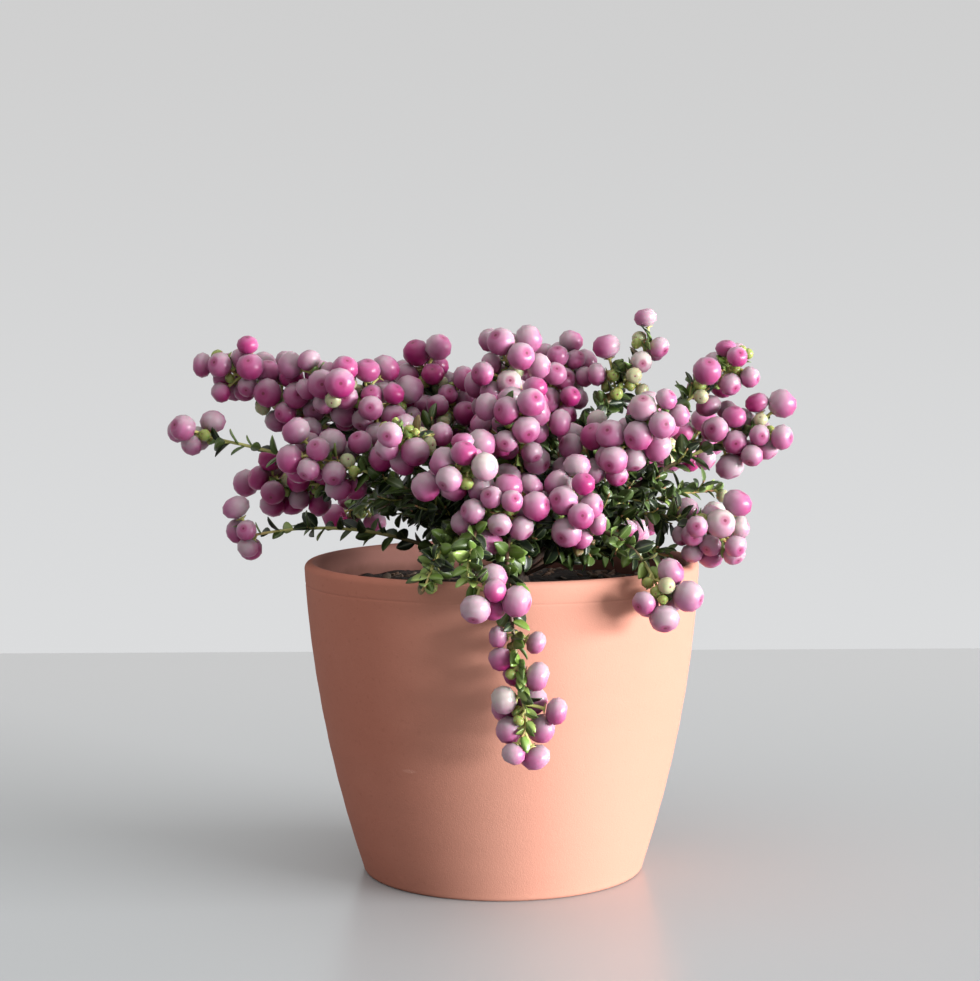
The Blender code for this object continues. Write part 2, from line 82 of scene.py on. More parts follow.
class Wire:
    """A socket of a material's nodes. Sums and products of wires add their Math nodes."""

    def __init__(self, tree, socket=None):
        self.tree = tree
        self.socket = socket

    def node(self, kind, settings=None, values=None, output=0):
        """A node of a kind, its settings set first, then the values or wires of its sockets."""
        made = self.tree.nodes.new(kind)
        for name, value in (settings or {}).items():
            setattr(made, name, value)
        for name, value in (values or {}).items():
            if isinstance(value, Wire):
                self.tree.links.new(value.socket, made.inputs[name])
            else:
                made.inputs[name].default_value = value
        return Wire(self.tree, made.outputs[output])

    def maths(self, operation, first, second=0.0):
        """A Math node on two wires or numbers."""
        return self.node("ShaderNodeMath", {"operation": operation}, {0: first, 1: second})

    def __add__(self, other):
        return self.maths("ADD", self, other)

    def __radd__(self, other):
        return self.maths("ADD", other, self)

    def __sub__(self, other):
        return self.maths("SUBTRACT", self, other)

    def __rsub__(self, other):
        return self.maths("SUBTRACT", other, self)

    def __mul__(self, other):
        return self.maths("MULTIPLY", self, other)

    def __rmul__(self, other):
        return self.maths("MULTIPLY", other, self)

    def __truediv__(self, other):
        return self.maths("DIVIDE", self, other)

    def __pow__(self, other):
        return self.maths("POWER", self, other)

    def cosine(self):
        """Cosine of the wire."""
        return self.maths("COSINE", self)

    def sine(self):
        """Sine of the wire."""
        return self.maths("SINE", self)

    def absolute(self):
        """The wire without its sign."""
        return self.maths("ABSOLUTE", self)

    def whole(self):
        """The whole number just under the wire."""
        return self.maths("FLOOR", self)

    def fraction(self):
        """What is left of the wire above that whole number."""
        return self.maths("FRACT", self)

    def between(self, low, high):
        """0 below low, 1 above high, with a soft step from one to the other."""
        values = {"Value": self, "From Min": low, "From Max": high}
        return self.node("ShaderNodeMapRange", {"interpolation_type": "SMOOTHSTEP"}, values)

    def above(self, edge):
        """0 below the edge and 1 above it."""
        return self.maths("GREATER_THAN", self, edge)

    def parts(self):
        """The three parts of a vector wire."""
        first = self.node("ShaderNodeSeparateXYZ", None, {"Vector": self})
        return [Wire(self.tree, output) for output in first.socket.node.outputs]

    def blend(self, first, second):
        """A colour between two colours, by this wire as the share of the second."""
        values = {0: self}
        for place, colour in ((6, first), (7, second)):
            values[place] = colour if isinstance(colour, Wire) else (*colour, 1.0)
        return self.node("ShaderNodeMix", {"data_type": "RGBA"}, values, 2)

    def noise(self, scale, detail=2.0, roughness=0.5):
        """Cloudy values around a half at the place that this wire gives, in lumps a metre."""
        values = {"Vector": self, "Scale": scale, "Detail": detail, "Roughness": roughness}
        return self.node("ShaderNodeTexNoise", None, values)

    def feed(self, shader, socket):
        """Lead this wire to a socket of the shader."""
        self.tree.links.new(self.socket, shader.inputs[socket])

    def raise_grain(self, shader, distance):
        """Bump the shader's surface by this wire of heights, a distance in metres."""
        bump = self.node("ShaderNodeBump", None, {"Height": self, "Distance": distance})
        bump.feed(shader, "Normal")


def new_material(name, roughness, **constants):
    """A material with its shader, and wires for the place on the object and on its map."""
    material = bpy.data.materials.new(name)
    material.use_nodes = True
    shader = material.node_tree.nodes["Principled BSDF"]
    shader.inputs["Roughness"].default_value = roughness
    for socket, value in constants.items():
        shader.inputs[socket.replace("_", " ")].default_value = value
    start = Wire(material.node_tree)
    place = start.node("ShaderNodeTexCoord", output=3)
    chart = start.node("ShaderNodeUVMap", {"uv_map": "OFBake"})
    return material, shader, place, chart


def table_top():
    """A flat rectangle from the front edge to the back edge, pale grey with faint clouds.

    Its back part is painted paler, a painted reflection of the pale room behind, by a soft step over its
    depth.
    """
    ends = ((-1, TABLE_FRONT_EDGE), (1, TABLE_FRONT_EDGE), (1, TABLE_BACK_EDGE), (-1, TABLE_BACK_EDGE))
    corners = [(side * TABLE_HALF_WIDTH, edge, 0.0) for side, edge in ends]
    mesh = bpy.data.meshes.new("table_top")
    mesh.from_pydata(corners, [], [(0, 1, 2, 3)])
    material, shader, place, _ = new_material("table_paint", TABLE_ROUGHNESS, Specular_IOR_Level=0.35)
    darker = tuple(0.97 * part for part in TABLE_COLOUR)
    depth = place.parts()[1]
    # Painted reflection: the far part of the table turns paler.
    far = depth.between(0.0, TABLE_BACK_EDGE)
    colour = far.blend(place.noise(3.0).blend(darker, TABLE_COLOUR), TABLE_FAR_SHEEN)
    colour.feed(shader, "Base Color")
    mesh.materials.append(material)
    table = bpy.data.objects.new("table_top", mesh)
    bpy.context.scene.collection.objects.link(table)


def area_light(name, place, size, power, colour):
    """A soft rectangle of light that faces the pot."""
    light = bpy.data.lights.new(name, "AREA")
    light.shape = "RECTANGLE"
    light.size, light.size_y = size
    light.energy = power
    light.color = colour
    lamp = bpy.data.objects.new(name, light)
    lamp.location = place
    lamp.rotation_euler = (Vector((0.0, 0.0, 0.1)) - Vector(place)).to_track_quat("-Z", "Y").to_euler()
    bpy.context.scene.collection.objects.link(lamp)


def room_world():
    """Low even light from all round, and for the camera alone a plain pale backdrop.

    The backdrop goes from a lighter grey below to a darker one above by the height of the
    direction that is looked along.
    """
    world = bpy.data.worlds.new("room")
    world.use_nodes = True
    light = world.node_tree.nodes["Background"]
    light.inputs["Color"].default_value = (*ROOM_COLOUR, 1.0)
    light.inputs["Strength"].default_value = ROOM_LIGHT
    start = Wire(world.node_tree)
    rise = start.node("ShaderNodeTexCoord").parts()[2]
    colour = rise.between(-0.19, 0.17).blend(BACKDROP_LOW, BACKDROP_HIGH)
    backdrop = start.node("ShaderNodeBackground", None, {"Color": colour})
    seen = start.node("ShaderNodeLightPath")
    even = Wire(world.node_tree, light.outputs[0])
    shown = start.node("ShaderNodeMixShader", None, {0: seen, 1: even, 2: backdrop})
    shown.feed(world.node_tree.nodes["World Output"], "Surface")
    bpy.context.scene.world = world


table_top()
area_light("window", WINDOW_PLACE, WINDOW_SIZE, WINDOW_POWER, WINDOW_COLOUR)
area_light("ceiling", CEILING_PLACE, CEILING_SIZE, CEILING_POWER, ROOM_COLOUR)
room_world()

camera_data = bpy.data.cameras.new("camera")
camera_data.sensor_width = SENSOR
camera_data.lens = FOCAL_PIXELS * SENSOR / IMAGE_HEIGHT
camera_data.clip_start = 0.01
camera = bpy.data.objects.new("camera", camera_data)
bpy.context.scene.collection.objects.link(camera)
look = Matrix.Rotation(math.pi / 2 - CAMERA_PITCH, 4, "X") @ Matrix.Rotation(CAMERA_ROLL, 4, "Z")
camera.rotation_euler = look.to_euler()
camera.location = CAMERA_PLACE
bpy.context.scene.camera = camera
bpy.context.scene.view_settings.view_transform = "Standard"

# Pot
# A plain flower pot, turned and fired from one lump of fine clay, with a round lip and a
# faint line under it where the tool stopped. Its sides bulge a little and are not glazed.
POT_HEIGHT = 109.3 * MM
POT_BASE_RADIUS = 48.9 * MM
POT_RIM_RADIUS = 69.0 * MM
POT_BULGE = (1.775, -0.800, 0.025)
POT_WALL = 4.4 * MM
POT_FLOOR = 8.0 * MM
POT_BASE_ROUND = 1.6 * MM
POT_SIDES = 192
LIP_STEPS = 12
LINE_BELOW_RIM = 7.2 * MM
LINE_DEPTH = 0.16 * MM
LINE_HALF_WIDTH = 0.35 * MM
SCUFF_PLACE = (-31.0 * MM, 45.0 * MM)
SCUFF_SIZE = (2.6 * MM, 0.7 * MM)
SOIL_TOP = POT_HEIGHT - 10.0 * MM
CLAY_WARM = (0.37, 0.132, 0.088)
CLAY_PALE = (0.41, 0.160, 0.112)
CLAY_DEEP = (0.32, 0.112, 0.074)
# Painted shade: the dark band on the inner wall just above the soil.
CLAY_PAINTED_SHADE = (0.17, 0.070, 0.052)
# The inside wall's colour, a little darker and greyer than the outside.
CLAY_INSIDE = (0.27, 0.118, 0.094)
CLAY_SCUFF = (0.72, 0.42, 0.33)
# Painted light: the paler clay on the pot's right side, towards the window, and the two spans across x where
# it rises and where it eases off.
CLAY_PAINTED_LIGHT = (0.45, 0.215, 0.155)
PAINTED_LIGHT_SIDE = (-48.0 * MM, 2.0 * MM)
PAINTED_LIGHT_FADE = (15.0 * MM, 62.0 * MM)

Solid = namedtuple("Solid", "points triangles quads triangle_uv quad_uv")


def full_turn(steps):
    """The angles of a number of equal steps once round."""
    return np.linspace(0.0, 2 * math.pi, steps, endpoint=False)


def turned(reach, turn, height):
    """Points at a distance from the axis, an angle round it and a height."""
    x = reach * np.cos(turn)
    return np.stack((x, reach * np.sin(turn), np.broadcast_to(height, x.shape)), -1)


def closed_rings(points, tints=0, tint_count=1, along=None):
    """Closed solids from rings of points, given as [solid, ring, step round it, xyz].

    Each ring is joined to the next by four-cornered faces, and each end is closed by a fan
    to the centre of its last ring. The map's u is the step round the ring, put into the
    column of the solid's tint; its v is the place along the solid, from 0 to 1.
    """
    count, rings, steps = points.shape[:3]
    poles = np.stack((points[:, 0].mean(1), points[:, -1].mean(1)), 1)
    body = np.concatenate((points.reshape(count, rings * steps, 3), poles), 1)
    row = np.arange(rings)[:, None] * steps
    step = np.arange(steps)
    after = (step + 1) % steps
    quads = np.stack((row[:-1] + step, row[:-1] + after, row[1:] + after, row[1:] + step), -1)
    quads = quads.reshape(-1, 4)
    low = np.stack((np.full(steps, rings * steps), after, step), -1)
    high = np.stack((np.full(steps, rings * steps + 1), row[-1] + step, row[-1] + after), -1)
    triangles = np.concatenate((low, high))

    left = step / steps
    right = (step + 1) / steps
    along = (np.arange(rings) + 1.0) / (rings + 1.0) if along is None else np.asarray(along)
    around = np.broadcast_to(np.stack((left, right, right, left), -1), (rings - 1, steps, 4))
    lengthwise = np.stack((along[:-1], along[:-1], along[1:], along[1:]), -1)
    lengthwise = np.broadcast_to(lengthwise[:, None], (rings - 1, steps, 4))
    quad_uv = np.stack((around, lengthwise), -1).reshape(-1, 4, 2)
    middle = (left + right) / 2
    low_v = np.tile((0.0, along[0], along[0]), (steps, 1))
    high_v = np.tile((1.0, along[-1], along[-1]), (steps, 1))
    low_uv = np.stack((np.stack((middle, right, left), -1), low_v), -1)
    high_uv = np.stack((np.stack((middle, left, right), -1), high_v), -1)
    triangle_uv = np.concatenate((low_uv, high_uv))

    centre = body[0].mean(0)
    corners = body[0][np.concatenate((triangles, quads[:, :3], quads[:, (0, 2, 3)]))] - centre
    volume = (corners[:, 0] * np.cross(corners[:, 1], corners[:, 2])).sum()
    if volume < 0:
        triangles, quads = triangles[:, ::-1], quads[:, ::-1]
        triangle_uv, quad_uv = triangle_uv[:, ::-1], quad_uv[:, ::-1]

    offset = (np.arange(count) * body.shape[1])[:, None, None]
    shift = np.broadcast_to(np.asarray(tints, float), (count,))[:, None, None, None]
    maps = []
    for uv in (triangle_uv, quad_uv):
        spread = np.broadcast_to(uv, (count, *uv.shape)).copy()
        spread[..., :1] = (spread[..., :1] + shift) / tint_count
        maps.append(spread.reshape(-1, *uv.shape[1:]))
    return Solid(
        body.reshape(-1, 3),
        (triangles[None] + offset).reshape(-1, 3),
        (quads[None] + offset).reshape(-1, 4),
        *maps,
    )


def set_out(shapes, frames, sizes, places):
    """Shapes made of rings, or one for all, each turned by its frame, scaled and moved."""
    return shapes @ frames[:, None] * sizes[:, None, None, None] + places[:, None, None]


def together(*solids):
    """Several solids as one."""
    shift = np.cumsum([0] + [len(solid.points) for solid in solids[:-1]])
    return Solid(
        np.concatenate([solid.points for solid in solids]),
        np.concatenate([solid.triangles + add for solid, add in zip(solids, shift)]),
        np.concatenate([solid.quads + add for solid, add in zip(solids, shift)]),
        np.concatenate([solid.triangle_uv for solid in solids]),
        np.concatenate([solid.quad_uv for solid in solids]),
    )


def put_piece(name, solid, material, slot, *nodes):
    """Put a solid into the scene as one smooth piece that stands for the named nodes."""
    mesh = bpy.data.meshes.new(name)
    mesh.vertices.add(len(solid.points))
    mesh.vertices.foreach_set("co", solid.points.astype(np.float32).ravel())
    corners = np.concatenate((solid.triangles.ravel(), solid.quads.ravel()))
    mesh.loops.add(len(corners))
    mesh.loops.foreach_set("vertex_index", corners.astype(np.int32))
    starts = np.concatenate((
        np.arange(len(solid.triangles)) * 3,
        3 * len(solid.triangles) + np.arange(len(solid.quads)) * 4,
    ))
    mesh.polygons.add(len(starts))
    mesh.polygons.foreach_set("loop_start", starts.astype(np.int32))
    mesh.update(calc_edges=True)
    layer = mesh.uv_layers.new(name="OFBake")
    uv = np.concatenate((solid.triangle_uv.ravel(), solid.quad_uv.ravel()))
    layer.data.foreach_set("uv", uv.astype(np.float32))
    mesh.validate()
    mesh.shade_smooth()
    mesh.materials.append(material)
    piece = bpy.data.objects.new(name, mesh)
    bpy.context.scene.collection.objects.link(piece)
    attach(piece, "root")
    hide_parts(*nodes)


def pot_radius(height):
    """Outer radius at a height: the base radius plus a cubic share of the spread."""
    share = height / POT_HEIGHT
    a, b, c = POT_BULGE
    return POT_BASE_RADIUS + (POT_RIM_RADIUS - POT_BASE_RADIUS) * (share * (a + share * (b + share * c)))


def pot_surface():
    """Profile from the centre of the underside up the outside, over the lip and down inside.

    The profile is turned about the axis. Two slow waves round the pot and a few up it,
    each a tenth of a millimetre or less, stand for the clay's slight unevenness, and a
    narrow groove, a bell curve in height, is the line under the rim.
    """
    lip_foot = POT_HEIGHT - POT_WALL / 2
    turn = np.linspace(0.0, math.pi / 2, 5)
    flat = POT_BASE_RADIUS - POT_BASE_ROUND
    under = np.array([(share * flat, 0.0) for share in (0.25, 0.5, 0.75, 0.95)])
    edge_middle = pot_radius(POT_BASE_ROUND) - POT_BASE_ROUND
    edge = np.stack((
        edge_middle + POT_BASE_ROUND * np.sin(turn),
        POT_BASE_ROUND * (1 - np.cos(turn)),
    ), -1)
    seam = POT_HEIGHT - LINE_BELOW_RIM + LINE_HALF_WIDTH * np.linspace(-3, 3, 13)
    heights = np.sort(np.concatenate((np.linspace(POT_BASE_ROUND, lip_foot, 56)[1:], seam)))
    wall = np.stack((pot_radius(heights), heights), -1)
    lip_turn = np.linspace(0.0, math.pi, LIP_STEPS)[1:]
    lip_middle = pot_radius(lip_foot) - POT_WALL / 2
    lip = np.stack((
        lip_middle + POT_WALL / 2 * np.cos(lip_turn),
        lip_foot + POT_WALL / 2 * np.sin(lip_turn),
    ), -1)
    inner_heights = np.linspace(lip_foot, POT_FLOOR, 30)[1:]
    inner = np.stack((pot_radius(inner_heights) - POT_WALL, inner_heights), -1)
    floor = np.array([(share * inner[-1, 0], POT_FLOOR) for share in (0.8, 0.4, 0.1)])
    profile = np.concatenate((under, edge, wall, lip, inner, floor))

    around = full_turn(POT_SIDES)
    radius, height = profile[:, :1], profile[:, 1:]
    outer = 1.0 / (1.0 + np.exp(-(radius - pot_radius(height) + POT_WALL * 0.6) / (0.4 * MM)))
    waves = 0.10 * np.sin(2 * around + 0.7) + 0.05 * np.sin(5 * around + height * 40.0)
    waves = waves + 0.05 * np.sin(height * 520.0 + 0.6 * np.sin(around)) * np.sin(around + height * 30.0)
    settle = np.clip(height / (12.0 * MM), 0.0, 1.0) * outer
    seam_height = POT_HEIGHT - LINE_BELOW_RIM + 0.25 * MM * np.sin(3 * around + 1.0)
    groove = np.exp(-(((height - seam_height) / LINE_HALF_WIDTH) ** 2)) * outer
    radius = radius + settle * waves * MM - groove * LINE_DEPTH
    return turned(radius, around, height)


def clay_material():
    """Fired clay: faint pale and deep clouds, fine speckle and pits, painted shade low down inside.

    The right side, towards the window, is painted paler as painted light, from a soft step across the front,
    and a second soft step eases it off at the far right.
    The inside is where the distance from the axis falls short of the outer radius. The
    scuff is a small pale oval on the front.
    """
    material, shader, place, _ = new_material("fired_clay", 0.86, Specular_IOR_Level=0.3)
    x, y, z = place.parts()
    cloud = place.noise(22.0, 4.0, 0.6).between(0.35, 0.68)
    colour = (cloud * 0.4).blend(CLAY_WARM, CLAY_PALE)
    speck = place.noise(900.0, 3.0, 0.7).between(0.55, 0.72)
    colour = (speck * 0.35).blend(colour, CLAY_PALE)
    pit = place.noise(620.0, 2.0, 0.5).between(0.60, 0.75)
    colour = (pit * 0.60).blend(colour, CLAY_DEEP)
    shade = place.noise(9.0, 3.0, 0.5).between(0.45, 0.75)
    colour = (shade * 0.25).blend(colour, CLAY_DEEP)
    # Painted light: the clay turns paler towards the window on the right, and eases off a little at the far
    # right.
    painted_light = x.between(*PAINTED_LIGHT_SIDE) * (1.0 - x.between(*PAINTED_LIGHT_FADE) * 0.4)
    colour = (painted_light * 0.85).blend(colour, CLAY_PAINTED_LIGHT)
    across = (x - SCUFF_PLACE[0]) / SCUFF_SIZE[0]
    upward = (z - SCUFF_PLACE[1]) / SCUFF_SIZE[1]
    scuff = (1.0 - (across * across + upward * upward).between(0.2, 1.2)) * (0.0 - y).above(0.0)
    colour = (scuff * pit.between(-0.4, 0.6) * 0.45).blend(colour, CLAY_SCUFF)

    # Inside the pot the clay is a little darker and greyer.
    reach = (x * x + y * y) ** 0.5
    inside = (pot_radius(z) - reach).between(POT_WALL * 0.45, POT_WALL * 0.75)
    # Painted shade: a dark band on the inner wall, from the soil up to a wavy line a few millimetres above
    # it.
    painted_shade_line = place.noise(60.0, 3.0, 0.6) * (7.0 * MM) + (SOIL_TOP - 1.5 * MM)
    painted_shade = 1.0 - (z - painted_shade_line).between(-1.5 * MM, 3.0 * MM)
    inside.blend(colour, painted_shade.blend(CLAY_INSIDE, CLAY_PAINTED_SHADE)).feed(shader, "Base Color")

    grain = place.noise(2400.0, 3.0, 0.6) + place.noise(800.0, 2.0, 0.5) * 0.4 - pit * 0.12
    grain.raise_grain(shader, 0.08 * MM)
    return material


put_piece("clay_pot", closed_rings(pot_surface()[None]), clay_material(), "clay", "pot")

# Soil
# Dark potting soil fills the pot to a finger's width below the rim, in a low mound with
# crumbs of bark and fibre lying on it.
CLEAR = 0.3 * MM
SOIL_MOUND = 1.2 * MM
SOIL_RINGS = 40
SOIL_SIDES = 120
CHIP_COUNT = 190
CHIP_SIDES = 7
CHIP_TINTS = 4
SOIL_DARK = (0.012, 0.008, 0.006)
SOIL_BROWN = (0.055, 0.035, 0.024)
CHIP_BROWN = (0.10, 0.055, 0.033)
CHIP_GREY = (0.16, 0.115, 0.085)


def soil_height(x, y):
    """The mound over the pot's middle, plus crossing ripples as crumbs and hollows."""
    reach = np.hypot(x, y) / (pot_radius(SOIL_TOP) - POT_WALL)
    mound = SOIL_MOUND * (1.0 - 1.6 * reach ** 3)
    crumbs = np.sin(x * 900 + 2 * np.sin(y * 500)) * np.sin(y * 780 + 2 * np.sin(x * 610))
    lumps = np.sin(x * 240 + 1.3) * np.sin(y * 210 + 0.4 + np.sin(x * 150))
    return SOIL_TOP + mound + 0.55 * MM * crumbs + 0.7 * MM * lumps


def soil_surface():
    """A turned filling: flat underneath, up the pot's wall, then over the crumbly top."""
    wall = pot_radius(SOIL_TOP) - POT_WALL - CLEAR
    around = full_turn(SOIL_SIDES)
    floor = POT_FLOOR + CLEAR
    low_heights = np.array((floor, floor, SOIL_TOP * 0.5, SOIL_TOP - 4 * MM))
    low_reach = pot_radius(low_heights) - POT_WALL - CLEAR
    low_reach[0] *= 0.5
    top_reach = wall * np.linspace(1.0, 0.02, SOIL_RINGS)
    reach = np.concatenate((low_reach, top_reach))[:, None]
    x = reach * np.cos(around)
    y = reach * np.sin(around)
    top = soil_height(x[4:], y[4:])
    low = np.broadcast_to(low_heights[:, None], (4, SOIL_SIDES))
    return np.stack((x, y, np.concatenate((low, top))), -1)


def chip_solids():
    """Flat crumbs of bark: uneven rings about a short axis, tipped at random on the soil."""
    chance = np.random.default_rng(7)
    reach = (pot_radius(SOIL_TOP) - POT_WALL - 4 * MM) * np.sqrt(chance.uniform(0.01, 1.0, CHIP_COUNT))
    bearing = chance.uniform(0, 2 * math.pi, CHIP_COUNT)
    x = reach * np.cos(bearing)
    y = reach * np.sin(bearing)
    centre = np.stack((x, y, soil_height(x, y) + 0.3 * MM), -1)
    turn = full_turn(CHIP_SIDES)
    uneven = chance.uniform(0.6, 1.0, (CHIP_COUNT, 1, CHIP_SIDES))
    long = chance.uniform(0.9, 3.4, (CHIP_COUNT, 1, 1)) * MM
    wide = long * chance.uniform(0.3, 0.8, (CHIP_COUNT, 1, 1))
    thick = chance.uniform(0.2, 0.6, (CHIP_COUNT, 1, 1)) * MM
    inset = np.array((0.7, 1.0, 0.75))[None, :, None]
    level = np.array((-1.0, 0.1, 1.0))[None, :, None]
    flat = np.stack((
        long * uneven * inset * np.cos(turn),
        wide * uneven * inset * np.sin(turn),
        np.broadcast_to(thick * level, (CHIP_COUNT, 3, CHIP_SIDES)),
    ), -1)
    spin = chance.uniform(0, 2 * math.pi, CHIP_COUNT)
    tip = chance.uniform(-0.5, 0.5, CHIP_COUNT)
    first = np.stack((np.cos(spin) * np.cos(tip), np.sin(spin) * np.cos(tip), np.sin(tip)), -1)
    second = np.stack((-np.sin(spin), np.cos(spin), np.zeros(CHIP_COUNT)), -1)
    frames = np.stack((first, second, np.cross(first, second)), 1)
    points = set_out(flat, frames, np.ones(CHIP_COUNT), centre)
    return closed_rings(points, chance.integers(0, CHIP_TINTS, CHIP_COUNT), CHIP_TINTS)


def soil_material():
    """Near-black crumbs with browner ones among them, matt and rough."""
    material, shader, place, _ = new_material("potting_soil", 0.95)
    crumb = place.noise(420.0, 4.0, 0.7).between(0.45, 0.75)
    crumb.blend(SOIL_DARK, SOIL_BROWN).feed(shader, "Base Color")
    place.noise(800.0, 4.0, 0.7).raise_grain(shader, 0.8 * MM)
    return material


def chip_material():
    """Bark crumbs in four browns, one to each column of the map."""
    material, shader, _, chart = new_material("bark_crumbs", 0.9)
    tint = (chart.parts()[0] * float(CHIP_TINTS)).whole() / (CHIP_TINTS - 1.0)
    tint.blend(CHIP_BROWN, CHIP_GREY).feed(shader, "Base Color")
    return material


put_piece("potting_soil", closed_rings(soil_surface()[None]), soil_material(), "soil", "soil")
put_piece("bark_crumbs", chip_solids(), chip_material(), "soil", "soil")

# Trunk and boughs
# A short woody trunk with a root flare leans to the right, and a bare bough goes from it
# to each spray. The bark is dark grey-brown, in shallow ridges, and smoother when young.
TRUNK_HEIGHT = 30.0 * MM
TRUNK_FLARE_RADIUS = 7.0 * MM
TRUNK_FOOT_RADIUS = 4.6 * MM
TRUNK_TOP_RADIUS = 3.3 * MM
TRUNK_PLACE = (3.5 * MM, 1.0 * MM)
TRUNK_LEAN = (5.0 * MM, -1.5 * MM)
TRUNK_ROOT_LOBES = 5
TRUNK_RINGS = 64
TRUNK_SIDES = 40
BOUGH_SIDES = 12
BOUGH_RINGS = 44
BOUGH_TIP_RADIUS = 0.85 * MM
LIMB_PULL = 0.38
FOOT_GAP = 0.4 * MM
BARK_DARK = (0.030, 0.020, 0.015)
BARK_BROWN = (0.105, 0.062, 0.042)
BARK_GREY = (0.20, 0.165, 0.125)

# One row a spray. bearing: degrees round from +X, seen from above; reach: distance of the
# tip from the pot's axis; height: of the tip above the rim; foot: height on the trunk;
# lift and end: slope of the limb as it leaves the trunk and at its tip, in degrees;
# bare: the share of the limb that is bare bough; wood: the limb's radius at the trunk;
# past, veer and rise: how far the last fine twig goes on past the tip, in mm, how far it
# turns off the limb's bearing, and its slope; shoots: how many side shoots; cluster: how
# far back from its end it has berries; berries: the share of leaf axils there with one;
# buds: the share of those that are still small and green; leaves: how close they stand;
# ripe: how deep the pink is, from 0, nearly white, to 1, partly ripeness and
# partly painted shade, deeper on sprays that lie in shade; hook: how far back from the tip
# the end slope holds, as a share of the span; sway: how far the end leans off the bearing.
Spray = namedtuple("Spray", (
    "name bearing reach height foot lift end bare wood past veer rise "
    "shoots cluster berries buds leaves ripe hook sway"
), defaults=(0.38, 0))
